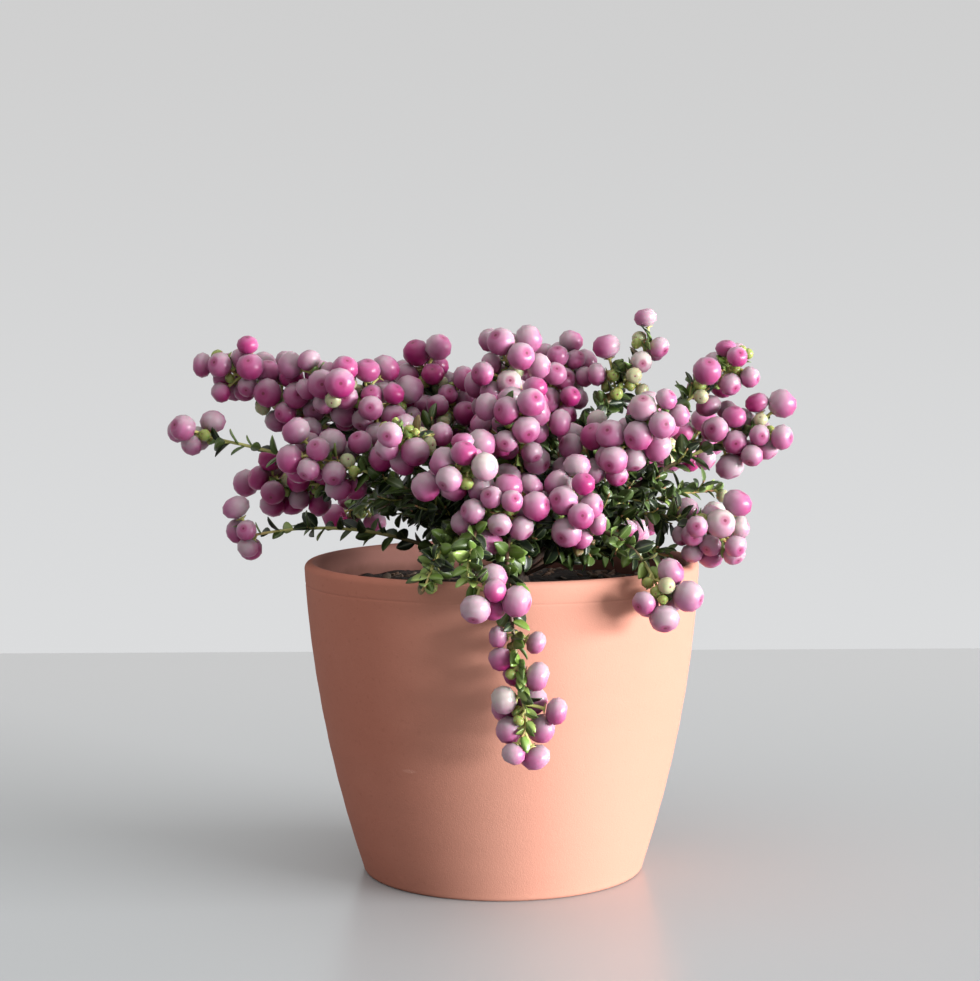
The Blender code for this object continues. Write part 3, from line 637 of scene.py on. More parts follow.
SPRAYS = (
    Spray("left_tip", 180, 101, 43, 12.5, 30, 12, 0.6, 1.3, 7, 0, 20, 2, 9, 1.0, 0.2, 0.35, 0.5),
    Spray("upper_left", 174, 92, 64, 16.5, 42, 22, 0.6, 1.3, 8, 0, 40, 6, 42, 1.0, 0.22, 0.35, 0.65),
    Spray("left_crest", 188, 62, 62, 20.5, 60, 25, 0.52, 1.2, 4, 0, 60, 6, 40, 0.9, 0.28, 0.4, 0.65),
    Spray("left_shade", 158, 87, 24, 8.5, 34, -4, 0.52, 1.2, 6, 0, 5, 5, 22, 1.0, 0.2, 0.6, 0.85),
    Spray("left_low", 186, 85, 10, 4.5, 24, -10, 0.0, 1.1, 6, 0, 40, 2, 7, 1.0, 0.2, 0.36, 0.6),
    Spray("left_front", 206, 70, 38, 8.5, 42, 12, 0.5, 1.2, 2, 0, 12, 6, 24, 0.8, 0.22, 0.6, 0.7),
    Spray("left_dome", 148, 33, 66, 24.5, 66, 50, 0.5, 1.2, 3, -40, 50, 6, 40, 0.9, 0.15, 0.35, 0.65),
    Spray("front_left", 235, 58, 47, 17.0, 55, 20, 0.48, 1.2, 3, 0, 30, 6, 20, 0.6, 0.5, 0.65, 0.6),
    Spray("front_middle", 257, 62, 36, 20.5, 42, 5, 0.45, 1.1, 2, 0, 10, 5, 18, 0.8, 0.2, 0.65, 0.6),
    Spray("top_middle", 280, 11, 70, 28.0, 80, 75, 0.46, 1.2, 5, 115, 60, 6, 38, 0.9, 0.15, 0.35, 0.4),
    Spray("top_right", 34, 28, 68, 25.5, 76, 60, 0.48, 1.1, 1, 0, 30, 6, 34, 0.9, 0.2, 0.45, 0.5),
    Spray("centre", 278, 42, 52, 24.5, 60, 40, 0.42, 1.2, 2, 0, 40, 6, 44, 0.9, 0.18, 0.45, 0.45),
    Spray("centre_low", 271, 60, 22, 16.0, 36, -5, 0.0, 1.0, 6, -80, 0, 6, 20, 0.8, 0.18, 0.6, 0.45),
    Spray("centre_right_low", 293, 60, 18, 4.5, 46, -5, 0.0, 1.0, 9, -60, 80, 6, 14, 0.9, 0.2, 0.7, 0.5),
    Spray("right_crest", 5, 51, 73, 21.5, 66, 55, 0.52, 1.1, 6, 0, 80, 6, 28, 0.35, 0.5, 0.55, 0.4),
    Spray("right_centre", 318, 66, 48, 20.5, 45, 28, 0.48, 1.2, 2, 0, 28, 6, 42, 0.9, 0.18, 0.45, 0.45),
    Spray("right_upper", 1, 78, 64, 16.2, 42, 32, 0.58, 1.2, 9, 0, 52, 6, 22, 0.8, 0.42, 0.5, 0.5),
    Spray("right_tip", 358, 88, 44, 8.5, 34, 15, 0.58, 1.5, 6, 0, 60, 4, 20, 1.0, 0.16, 0.45, 0.65),
    Spray("right_low", 338, 79, 10, 12.5, 34, -30, 0.52, 1.1, 3, 0, -30, 6, 20, 0.9, 0.14, 0.5, 0.28),
    Spray("right_under", 14, 78, 22, 4.5, 36, 0, 0.0, 1.1, 2, 0, 10, 6, 6, 0.4, 0.3, 0.8, 0.6),
    Spray("right_front_low", 310, 78, -3, 8.5, 42, -60, 0.52, 1.0, 5, 0, -60, 3, 11, 1.0, 0.28, 0.6, 0.45),
    Spray("hanging", 275, 82, -42, 8.5, 26, -86, 0.5, 1.0, 6, -70, -70, 0, 37, 0.9, 0.2, 0.6, 0.42, 0.84, 9),
    Spray("front_low", 262, 80, 5, 12.5, 36, -50, 0.45, 1.0, 12, 80, -35, 3, 8, 1.0, 0.12, 0.8, 0.5),
    Spray("front_left_low", 252, 77, 2, 4.5, 40, -42, 0.0, 1.0, 5, -10, -40, 9, 4, 0.2, 0.6, 1.0, 0.5),
    Spray("right_foliage", 335, 60, 4, 4.5, 26, -15, 0.0, 1.0, 3, 0, 0, 6, 0, 0.0, 0.3, 0.9, 0.4),
    Spray("back_right", 32, 84, 38, 12.5, 34, 12, 0.52, 1.3, 4, 0, 25, 6, 34, 0.8, 0.2, 0.5, 0.5),
    Spray("back_right_low", 54, 86, 8, 4.5, 44, -35, 0.48, 1.1, 4, 0, -20, 6, 24, 0.8, 0.2, 0.6, 0.5),
    Spray("back_high", 76, 60, 62, 16.5, 58, 30, 0.5, 1.3, 3, 0, 50, 6, 38, 0.9, 0.2, 0.5, 0.6),
    Spray("back_low", 92, 84, 20, 8.5, 42, -20, 0.5, 1.1, 4, 0, -10, 6, 26, 0.8, 0.2, 0.65, 0.6),
    Spray("back_left_high", 120, 76, 56, 12.5, 50, 22, 0.52, 1.3, 4, 0, 40, 6, 36, 0.9, 0.2, 0.5, 0.65),
    Spray("back_left_low", 132, 84, 12, 4.5, 42, -20, 0.5, 1.1, 2, 0, -30, 6, 8, 0.5, 0.2, 0.8, 0.7),
)


def trunk_axis(height):
    """Centre of the trunk at a height above the soil: it leans evenly."""
    share = np.asarray(height, float)[..., None] / TRUNK_HEIGHT
    flat = np.array(TRUNK_PLACE) + np.array(TRUNK_LEAN) * share
    return np.concatenate((flat, SOIL_TOP + CLEAR + np.asarray(height, float)[..., None]), -1)


def trunk_radius(height):
    """An even taper, with a flare that dies away over the trunk's first few millimetres."""
    taper = TRUNK_FOOT_RADIUS + (TRUNK_TOP_RADIUS - TRUNK_FOOT_RADIUS) * height / TRUNK_HEIGHT
    return taper + (TRUNK_FLARE_RADIUS - TRUNK_FOOT_RADIUS) * np.exp(-height / (2.0 * MM))


def polar(bearing, slope):
    """Unit vector at a bearing from +X and a slope above level, both in degrees."""
    turn = math.radians(bearing)
    rise = math.radians(slope)
    return np.array((math.cos(turn) * math.cos(rise), math.sin(turn) * math.cos(rise), math.sin(rise)))


def limb_curve(spray, shares):
    """A cubic Bezier curve from the trunk's side to the spray's tip, by lift and end slope."""
    height = spray.foot * MM
    tip = polar(spray.bearing, 0) * spray.reach * MM + UP * (POT_HEIGHT + spray.height * MM)
    axis = trunk_axis(height)
    bearing = math.degrees(math.atan2(tip[1] - axis[1], tip[0] - axis[0]))
    start = axis + polar(bearing, 0) * (trunk_radius(height) + FOOT_GAP)
    span = np.linalg.norm(tip - start)
    first = start + polar(bearing, spray.lift) * span * LIMB_PULL
    sideways = polar(spray.bearing + 90, 0) * math.tan(math.radians(spray.sway))
    second = tip - (polar(spray.bearing, spray.end) + sideways) * span * spray.hook
    t = np.asarray(shares, float)[:, None]
    near = (1 - t) ** 3 * start + 3 * (1 - t) ** 2 * t * first
    return near + 3 * (1 - t) * t ** 2 * second + t ** 3 * tip


def unit(vectors):
    """Vectors of the same directions, one metre long."""
    return vectors / np.linalg.norm(vectors, axis=-1, keepdims=True)


def limbs(paths, radii, sides, relief=0.0):
    """Rings of a radius round every point of every path, given as [limb, point, xyz].

    The frame is carried along the path, ring by ring. The relief raises long ridges that
    wander round the limb, as a share of its radius.
    """
    paths = np.asarray(paths, float)
    along = unit(np.gradient(paths, axis=1))
    sideways = np.empty_like(along)
    side = unit(np.cross(along[:, 0], UP + np.array((0.07, 0.13, 0.02))))
    for ring in range(paths.shape[1]):
        side = side - along[:, ring] * (side * along[:, ring]).sum(-1, keepdims=True)
        side = unit(side)
        sideways[:, ring] = side
    over = np.cross(along, sideways)
    turn = full_turn(sides)
    length = np.linspace(0.0, 1.0, paths.shape[1])[None, :, None]
    number = np.arange(len(paths))[:, None, None]
    ridges = np.sin(3 * turn + 9 * length + number) * np.sin(2 * turn - 23 * length + 2 * number)
    ridges = ridges + 0.6 * np.sin(5 * turn + 61 * length + 3 * number)
    radius = np.asarray(radii)[..., None] * (1.0 + relief * ridges)
    out = np.cos(turn)[:, None] * sideways[:, :, None] + np.sin(turn)[:, None] * over[:, :, None]
    return paths[:, :, None] + radius[..., None] * out


def trunk_surface():
    """Rings up the leaning axis; the flare stands out in root lobes, and the bark in ridges."""
    height = np.linspace(0.0, 1.0, TRUNK_RINGS) ** 1.4 * TRUNK_HEIGHT
    turn = full_turn(TRUNK_SIDES)
    level = height[:, None]
    radius = trunk_radius(level)
    spread = np.maximum(0.0, radius - TRUNK_FOOT_RADIUS)
    lobes = 0.45 * spread * np.cos(TRUNK_ROOT_LOBES * turn)
    bark = 0.16 * np.sin(9 * turn + 2.5 * np.sin(level * 260)) * np.sin(level * 420 + 3 * turn)
    bark = bark + 0.12 * np.sin(17 * turn + level * 300)
    fade = np.clip((TRUNK_HEIGHT - level) / (3 * MM), 0.2, 1.0)
    dome = 0.55 + 0.45 * np.sqrt(np.clip((TRUNK_HEIGHT - level) / (1.2 * MM), 0, 1))
    radius = radius * dome + lobes + bark * MM * fade
    return trunk_axis(height)[:, None] + turned(radius, turn, 0.0)


def bark_material():
    """Dark grey-brown bark in long streaks, with patches of paler grey."""
    material, shader, place, _ = new_material("heath_bark", 0.82)
    streak = place.noise(260.0, 4.0, 0.65).between(0.4, 0.7)
    lichen = place.noise(150.0, 3.0, 0.6).between(0.58, 0.72)
    colour = (lichen * 0.7).blend(streak.blend(BARK_DARK, BARK_BROWN), BARK_GREY)
    colour.feed(shader, "Base Color")
    place.noise(900.0, 4.0, 0.7).raise_grain(shader, 0.25 * MM)
    return material


bark = bark_material()
put_piece("trunk_bark", closed_rings(trunk_surface()[None]), bark, "bark", "trunk")
wooded = [spray for spray in SPRAYS if spray.bare > 0]
bough_paths = [limb_curve(spray, np.linspace(0.0, spray.bare, BOUGH_RINGS)) for spray in wooded]
bough_radii = [np.linspace(spray.wood * MM, BOUGH_TIP_RADIUS, BOUGH_RINGS) for spray in wooded]
boughs = closed_rings(limbs(bough_paths, bough_radii, BOUGH_SIDES, 0.07))
put_piece("bough_bark", boughs, bark, "bark", *["bough_" + spray.name for spray in wooded])

# Twigs
# Each bough goes on as a green twig with short side shoots set round it by the golden
# angle. The bark is still thin: brown at the foot, yellow-green and then red at the tip.
SPRAY_NODES = ["spray_" + spray.name for spray in SPRAYS]
GOLDEN_ANGLE = math.radians(137.5)
FIRST_SEED = 8
TWIG_CHANCES = 1
BERRY_CHANCES = 2
LEAF_CHANCES = 3
STEM_STEPS = 60
STEM_RADIUS = 0.80 * MM
STEM_TIP_RADIUS = 0.42 * MM
SHOOT_STEPS = 12
SHOOT_LENGTH = (8.0 * MM, 15.0 * MM)
SHOOT_RADIUS = 0.50 * MM
SHOOT_TIP_RADIUS = 0.26 * MM
STEM_SHOOT_SCALE = 0.62
BOUGH_SHOOT_SCALE = 1.15
DROOPING_SLOPE = -30
BOUGH_SHOOTS = 9
BOUGH_SHOOT_RANGE = (0.35, 0.98)
SHOOT_CLEAR = 2.0 * MM
STEM_SIDES = 8
SHOOT_SIDES = 6
TWIG_RELIEF = 0.05
TWIG_TINTS = 4
TWIG_BROWN = (0.085, 0.045, 0.030)
TWIG_GREEN = (0.42, 0.41, 0.125)
TWIG_RED = (0.34, 0.075, 0.065)
Twig = namedtuple("Twig", "spray path along length main fruitful")


def chances(spray, *uses):
    """Random draws of their own for each spray and use, so that one leaves the rest alone."""
    return np.random.default_rng((FIRST_SEED, SPRAYS.index(spray), *uses))


def radial_direction(along, turn, lean):
    """Unit vectors out from a stem, turned about it and leaning towards its tip."""
    side = unit(np.cross(along, UP + np.array((0.07, 0.13, 0.0))))
    out = math.cos(turn) * side + math.sin(turn) * np.cross(along, side)
    return math.cos(lean) * out + math.sin(lean) * along


def inside_pot(points, thickness):
    """True for each point that, as a ball of the thickness, cuts the pot's wall or the soil."""
    reach = np.hypot(points[..., 0], points[..., 1])
    height = points[..., 2]
    outer = pot_radius(np.clip(height, 0.0, POT_HEIGHT))
    low = height < POT_HEIGHT + thickness
    wall = low & (reach < outer + thickness) & (reach > outer - POT_WALL - thickness)
    soil = (reach < outer) & (height < SOIL_TOP + SOIL_MOUND + thickness)
    return wall | soil


def even_steps(path, steps):
    """The same path with its points at equal distances along it."""
    lengths = np.linalg.norm(np.diff(path, axis=0), axis=1)
    travelled = np.concatenate(((0.0,), np.cumsum(lengths)))
    places = np.linspace(0.0, travelled[-1], steps)
    return np.stack([np.interp(places, travelled, part) for part in path.T], -1)


def make_twig(spray, path, main, fruitful):
    """A twig with its directions and its length along the path."""
    length = np.linalg.norm(np.diff(path, axis=0), axis=1).sum()
    return Twig(spray, path, unit(np.gradient(path, axis=0)), length, main, fruitful)


def side_shoots(spray, stem, shares, scale, chance):
    """Shoots that leave a stem at the shares of its length and bend up, or down if it hangs."""
    grown = []
    for number, share in enumerate(shares):
        index = int(share * (len(stem.path) - 1))
        turn = GOLDEN_ANGLE * number + chance.uniform(-0.5, 0.5)
        away = radial_direction(stem.along[index], turn, chance.uniform(0.45, 0.95))
        length = chance.uniform(*SHOOT_LENGTH) * scale * (1.0 - 0.35 * share)
        t = np.linspace(0.0, 1.0, SHOOT_STEPS)[:, None]
        rise = -0.25 if spray.end < DROOPING_SLOPE else 0.30
        path = stem.path[index] + length * (t * away + t * t * rise * UP)
        fruitful = stem.main and (1.0 - share) * stem.length < spray.cluster * MM
        if not inside_pot(path, SHOOT_CLEAR).any():
            grown.append(make_twig(spray, path, False, fruitful))
    return grown


def grow_twigs(spray):
    """The spray's own stem and its side shoots, and leafy shoots on the bough behind it."""
    chance = chances(spray, TWIG_CHANCES)
    path = limb_curve(spray, np.linspace(spray.bare, 1.0, STEM_STEPS))
    t = np.linspace(0.1, 1.0, 10)[:, None]
    ahead = polar(spray.bearing, spray.end)
    aside = polar(spray.bearing + spray.veer, spray.rise)
    path = np.concatenate((path, path[-1] + spray.past * MM * t * ((1 - t) * ahead + t * aside)))
    stem = make_twig(spray, even_steps(path, STEM_STEPS), True, True)
    first = 0.40 if spray.bare == 0 else 0.12
    places = (np.arange(spray.shoots) + chance.uniform(0.2, 0.8, spray.shoots)) / spray.shoots
    twigs = [stem] + side_shoots(spray, stem, first + (0.94 - first) * places, STEM_SHOOT_SCALE, chance)
    if spray.bare > 0:
        path = limb_curve(spray, np.linspace(0.0, spray.bare, STEM_STEPS))
        bough = make_twig(spray, path, False, False)
        places = np.sort(chance.uniform(*BOUGH_SHOOT_RANGE, BOUGH_SHOOTS))
        twigs += side_shoots(spray, bough, places, BOUGH_SHOOT_SCALE, chance)
    return twigs


def twig_material():
    """Brown at the foot, green along the middle and red at the tip, by age.

    The first tint is for hanging stems, brown for longest, and the last for side shoots.
    """
    material, shader, _, chart = new_material("young_twigs", 0.5)
    u, v, _ = chart.parts()
    young = (u * float(TWIG_TINTS)).whole() / (TWIG_TINTS - 1.0)
    green = (v + young * 0.6).between(0.45, 0.85)
    red = (v + young * 0.15).between(0.85, 1.05)
    (red * 0.75).blend(green.blend(TWIG_BROWN, TWIG_GREEN), TWIG_RED).feed(shader, "Base Color")
    return material


twigs = [twig for spray in SPRAYS for twig in grow_twigs(spray)]
mains = [twig for twig in twigs if twig.main]
shoots = [twig for twig in twigs if not twig.main]
main_radii = np.tile(np.linspace(STEM_RADIUS, STEM_TIP_RADIUS, STEM_STEPS), (len(mains), 1))
shoot_radii = np.tile(np.linspace(SHOOT_RADIUS, SHOOT_TIP_RADIUS, SHOOT_STEPS), (len(shoots), 1))
main_rings = limbs([twig.path for twig in mains], main_radii, STEM_SIDES, TWIG_RELIEF)
shoot_rings = limbs([twig.path for twig in shoots], shoot_radii, SHOOT_SIDES, TWIG_RELIEF)
drooping = [twig.spray.end < DROOPING_SLOPE for twig in mains]
main_tints = [0 if droops else 1 + number % 2 for number, droops in enumerate(drooping)]
twig_solid = together(
    closed_rings(main_rings, main_tints, TWIG_TINTS),
    closed_rings(shoot_rings, TWIG_TINTS - 1, TWIG_TINTS),
)
put_piece("young_twigs", twig_solid, twig_material(), "foliage", *SPRAY_NODES)

# Berries
# Round waxy berries, a little flat, each with a puckered dimple at its outer end. They
# stand close round the twigs on short pale stalks with a small five-lobed cup. Ripe ones
# are mauve pink, paler above and deeper below, partly as painted light and shade; some
# between them are still small and green.
BERRY_RADIUS = (3.7 * MM, 5.3 * MM)
UNRIPE_RADIUS = (1.2 * MM, 3.0 * MM)
UNRIPE_WHITE = 2.5 * MM
BERRY_FLATTEN = (0.76, 0.98)
STALK_LENGTH = (1.3 * MM, 6.5 * MM)
STALK_STEPS = 10
STALK_RADIUS = 0.48 * MM
STALK_RINGS = 6
STALK_SIDES = 5
BERRY_SIDES = 12
BERRY_ANGLES = np.radians((23.0, 57.0, 91.0, 124.0, 152.0, 169.0))
BERRY_TINTS = 8
BERRY_TRIES = 14
BERRY_NEIGHBOURS = 7
PRESS_GAP = 0.04 * MM
WOOD_REACH = 20.0 * MM
HANGING_SLOPE = -70
HANGING_FRONT = 0.30
BERRY_SPACING = 1.1 * MM
BERRY_TOUCH = 0.88
BERRY_DROOP = 0.22
CUP_STEPS = 10
# Paler skin above and deeper pink below stand partly for the skin's own colours, partly for painted light
# from above and painted shade beneath.
SKIN_PALE = (0.332, 0.246, 0.278)
SKIN_PINK = (0.324, 0.124, 0.222)
SKIN_DEEP = (0.262, 0.015, 0.110)
SKIN_WHITE = (0.365, 0.325, 0.305)
SKIN_GREEN = (0.22, 0.27, 0.070)
SKIN_CREAM = (0.32, 0.33, 0.19)
DIMPLE_PINK = (0.27, 0.015, 0.105)
SCAR_BROWN = (0.150, 0.020, 0.050)
STALK_GREEN = (0.44, 0.42, 0.13)
CUP_GREEN = (0.38, 0.38, 0.12)
CUP_RED = (0.36, 0.11, 0.09)
Berry = namedtuple("Berry", "root centre radius out tint")


def berry_surface():
    """A ball of radius one about +Z, with a dimple sunk in at its outer end.

    Rings follow the angle from the stalk end to the dimple. The dimple is a bell curve
    taken off the height near the outer pole, with a smaller one at the stalk.
    """
    angle = BERRY_ANGLES[:, None]
    sink = 0.22 * np.exp(-((np.sin(angle) / 0.24) ** 2)) * (angle > math.pi / 2)
    stalk_sink = 0.10 * np.exp(-((np.sin(angle) / 0.30) ** 2)) * (angle < math.pi / 2)
    return turned(np.sin(angle), full_turn(BERRY_SIDES), stalk_sink - sink - np.cos(angle))


def frames_towards(out, top):
    """Frames whose third axis points out and whose first axis leans to the top vector."""
    first = unit(top - out * (top * out).sum(-1, keepdims=True))
    return np.stack((first, np.cross(out, first), out), 1)


def place_berries(fruitful, berries):
    """The berries so far, and one to a leaf axil from the tip back of a spray's twigs.

    Each one tries directions round its axil, and takes the one in which it clears the
    wood and the other berries on the shortest stalk, so that they crowd together. Far
    back from the tip, inside the crown, the full-grown ones are a deeper pink, as painted
    shade, and more are small and green. A hanging twig has none on its front, and its
    leaves show there.
    """
    grown = list(berries)
    for twig in fruitful:
        spray = twig.spray
        chance = chances(spray, BERRY_CHANCES, len(grown) - len(berries))
        reach = min(spray.cluster * MM, 0.8 * twig.length) if twig.main else 0.85 * twig.length
        for number in range(round(reach / BERRY_SPACING)):
            bare, bud, size, lean, turn, droop = chance.random(6)
            back = number * BERRY_SPACING / reach
            # Partly painted shade: the pink is set deeper for sprays that lie in shade and for berries far
            # back from the tip, inside the crown.
            ripe = spray.ripe * (BERRY_TINTS - 3) + back - 0.4 + chance.normal(0.0, 0.9)
            if bare > spray.berries:
                continue
            share = 1.0 - number * BERRY_SPACING / twig.length
            index = int(share * (len(twig.path) - 1))
            root = twig.path[index]
            unripe = bud < spray.buds * (0.5 + 1.3 * back)
            low, high = UNRIPE_RADIUS if unripe else BERRY_RADIUS
            radius = low + (high - low) * size
            lean = 0.9 * lean - 0.1 if number > 1 else 0.8 * lean + 0.7
            turns = 2 * math.pi * (np.arange(BERRY_TRIES) + turn) / BERRY_TRIES
            outs = np.array([radial_direction(twig.along[index], turn, lean) for turn in turns])
            outs = unit(outs - UP * BERRY_DROOP * (2.5 * droop - 0.5))
            if spray.end < HANGING_SLOPE:
                outs = outs[outs @ polar(spray.bearing, 0) < HANGING_FRONT]
            lengths = np.linspace(*STALK_LENGTH, STALK_STEPS)
            spots = (root + outs[:, None] * (radius + lengths)[:, None]).reshape(-1, 3)
            near = wood[np.linalg.norm(wood - root, axis=1) < WOOD_REACH]
            gaps = np.linalg.norm(spots[:, None] - near, axis=2)
            clear = (gaps > radius + 0.5 * MM).all(axis=1) & ~inside_pot(spots, radius + 0.3 * MM)
            if grown:
                centres = np.array([berry.centre for berry in grown])
                touching = BERRY_TOUCH * (np.array([berry.radius for berry in grown]) + radius)
                clear &= (np.linalg.norm(spots[:, None] - centres, axis=2) > touching).all(axis=1)
            if clear.any():
                best = int(np.argmin(np.tile(lengths, len(outs)) + np.where(clear, 0.0, 1.0)))
                tint = int(np.clip(ripe, 0, BERRY_TINTS - 3))
                if unripe:
                    tint = BERRY_TINTS - 1 - (radius > UNRIPE_WHITE)
                grown.append(Berry(root, spots[best], radius, outs[best // STALK_STEPS], tint))
    return grown


def press_together(points, centres, radii):
    """Flatten each berry where it meets its nearest neighbours.

    The plane between two berries stands on the line of their centres, at their sizes'
    share of it. What of a berry lies beyond the plane is moved back onto it.
    """
    gaps = np.linalg.norm(centres[:, None] - centres, axis=2) - radii[:, None] - radii
    np.fill_diagonal(gaps, np.inf)
    order = np.argsort(gaps, axis=1)[:, :BERRY_NEIGHBOURS]
    for other in order.T:
        between = centres[other] - centres
        distance = np.linalg.norm(between, axis=1)
        towards = between / distance[:, None]
        plane = distance * radii / (radii + radii[other]) - PRESS_GAP
        beyond = np.einsum("krsa,ka->krs", points - centres[:, None, None], towards)
        beyond = np.maximum(0.0, beyond - plane[:, None, None])
        points = points - beyond[..., None] * towards[:, None, None]
    return points


def berry_material():
    """Waxy skin: pale above, pink below, partly as painted light and shade, by eight tints; deep pink dimple
    with a dark scar.

    The map's v is the angle from the stalk end as a share of a half turn, and u turns
    round from the side that is uppermost, so the two together give how far up the skin
    faces. The last two tints are the unripe white and green.
    """
    material, shader, place, chart = new_material(
        "berry_skin", 0.42, Coat_Weight=0.22, Coat_Roughness=0.14, Specular_IOR_Level=0.22,
        Subsurface_Weight=0.65, Subsurface_Radius=(1.0, 0.35, 0.60), Subsurface_Scale=4.5 * MM,
    )
    u, v, _ = chart.parts()
    column = u * float(BERRY_TINTS)
    tint = column.whole()
    turn = column.fraction() * (2 * math.pi)
    angle = v * math.pi
    upward = angle.sine() * turn.cosine() * 0.9 + 0.05
    ripe = tint / (BERRY_TINTS - 3.0)
    bloom = (place.noise(420.0, 3.0, 0.6) - 0.5) * 0.55
    inner = (0.45 - v) * 0.35
    # Partly painted light: the skin is paler where it faces up.
    pale = (upward + inner + bloom - ripe * 0.85 + 0.35).between(-0.35, 0.85)
    colour = pale.blend(SKIN_PINK, SKIN_PALE)
    # Partly painted shade: the pink is deeper where the skin faces down.
    deep = (ripe * 0.85 - upward * 0.55 - 0.24).between(0.0, 0.85)
    colour = deep.blend(colour, SKIN_DEEP)
    white = (1.0 - ripe.between(0.0, 0.2)) * (pale * 0.7 + 0.3)
    colour = white.blend(colour, SKIN_WHITE)
    dimple = v.between(0.83, 0.93)
    colour = (dimple * 0.6).blend(colour, DIMPLE_PINK)
    scar = v.between(0.95, 0.98)
    colour = scar.blend(colour, SCAR_BROWN)
    green = tint.above(BERRY_TINTS - 2.5)
    young = tint.above(BERRY_TINTS - 1.5).blend(SKIN_CREAM, SKIN_GREEN)
    (green * (1.0 - scar)).blend(colour, young).feed(shader, "Base Color")
    return material


def stalk_paths(root, centre, out, radius):
    """Curved stalks: from the twig out, then bending into the berry's inner end."""
    end = centre - out * radius * 0.8
    bend = (root + end) / 2 + UP * 0.8 * MM
    t = np.linspace(0, 1, STALK_RINGS)[:, None]
    root, bend, end = root[:, None], bend[:, None], end[:, None]
    return (1 - t) ** 2 * root + 2 * (1 - t) * t * bend + t ** 2 * end


def cup_surface():
    """A shallow cup about +Z with five pointed lobes: four rings that swing out and in."""
    turn = full_turn(CUP_STEPS)
    lobed = np.array((0.0, 0.45, 0.45, 0.0))[:, None]
    reach = np.array((0.12, 0.42, 0.40, 0.10))[:, None] * (1.0 + lobed * np.cos(5 * turn))
    return turned(reach, turn, np.array((-0.09, 0.06, 0.12, 0.06))[:, None])


def stalk_material():
    """Pale yellow-green stalks and cups, the cups reddish towards their lobes."""
    material, shader, _, chart = new_material("berry_stalks", 0.55)
    u, v, _ = chart.parts()
    rim = v.between(0.3, 0.6) * 0.6
    u.above(0.5).blend(STALK_GREEN, rim.blend(CUP_GREEN, CUP_RED)).feed(shader, "Base Color")
    return material


wood = np.concatenate([twig.path for twig in twigs] + bough_paths)
berries = []
for spray in SPRAYS:
    berries = place_berries([twig for twig in twigs if twig.spray is spray and twig.fruitful], berries)
parts = [np.array(part) for part in zip(*berries)]
berry_roots, berry_centres, berry_radii, berry_outs, berry_tints = parts
berry_frames = frames_towards(berry_outs, UP + 0.01)
stretch = np.ones((len(berries), 1, 1, 3))
stretch[:, 0, 0, 2] = np.random.default_rng(FIRST_SEED).uniform(*BERRY_FLATTEN, len(berries))
berry_points = set_out(berry_surface() * stretch, berry_frames, berry_radii, berry_centres)
berry_points = press_together(berry_points, berry_centres, berry_radii)
berry_solid = closed_rings(berry_points, berry_tints, BERRY_TINTS, BERRY_ANGLES / math.pi)
put_piece("berries", berry_solid, berry_material(), "berries", *SPRAY_NODES)

stalk_radii = np.tile(np.linspace(1.0, 1.25, STALK_RINGS) * STALK_RADIUS, (len(berries), 1))
stalks = stalk_paths(berry_roots, berry_centres, berry_outs, berry_radii[:, None])
cup_sizes = np.minimum(2.0 * MM + 0.3 * berry_radii, berry_radii)
cup_places = berry_centres - 0.88 * berry_radii[:, None] * berry_outs
cup_points = set_out(cup_surface(), berry_frames, cup_sizes, cup_places)
stalk_rings = limbs(stalks, stalk_radii, STALK_SIDES)
stalk_solid = together(closed_rings(stalk_rings, 0, 2), closed_rings(cup_points, 1, 2))
put_piece("berry_stalks", stalk_solid, stalk_material(), "foliage", *SPRAY_NODES)

# Leaves
# Small stiff evergreen leaves, glossy and dark above with a pale rib and margin, paler
# below, each ending in a short point. They stand round the twigs by the golden angle.
LEAF_SPACING = 1.0 * MM
INNER_LEAVES = 0.75
LEAF_LENGTH = (6.0 * MM, 9.5 * MM)
LEAF_WIDTH_SHARE = (0.48, 0.66)
LEAF_PLACES = (0.0, 0.14, 0.34, 0.56, 0.78, 0.93)
LEAF_TINTS = 6
LEAF_TRIES = 5
LEAF_LEAN = (0.35, 0.95)
LEAF_ROLL = 0.40
LEAF_CLEAR = 0.2 * MM
FRESH_FROM = 0.65
FRESH_SHARE = 0.5
RUST_SHARE = 0.02
LEAF_DARK = (0.009, 0.020, 0.006)
LEAF_GREEN = (0.134, 0.222, 0.036)
LEAF_FRESH = (0.24, 0.33, 0.080)
# Painted shade: the dark underside of leaves inside the crown.
LEAF_UNDER_SHADED = (0.026, 0.042, 0.014)
LEAF_UNDER = (0.142, 0.218, 0.064)
LEAF_EDGE = (0.22, 0.28, 0.11)
LEAF_RUST = (0.16, 0.055, 0.030)


def leaf_surface():
    """A thin closed blade of length one along +X, as rings of four points round the rib.

    Its half width is a skewed sine that comes to a point; the edges stand up a little
    from the rib, and the whole blade bends back by the square of its length.
    """
    along = np.array(LEAF_PLACES)[:, None]
    half = 0.5 * np.sin(math.pi * along ** 0.85) ** 0.8
    half[0] = 0.05
    half[-1] *= 0.6
    lift = 0.22 * half
    thick = 0.018
    bend = -0.10 * along ** 2
    y = half * np.array((1.0, 0.0, -1.0, 0.0))
    z = np.concatenate((bend + lift, bend + thick, bend + lift, bend - thick), 1)
    return np.stack((along * np.ones_like(y), y, z), -1)


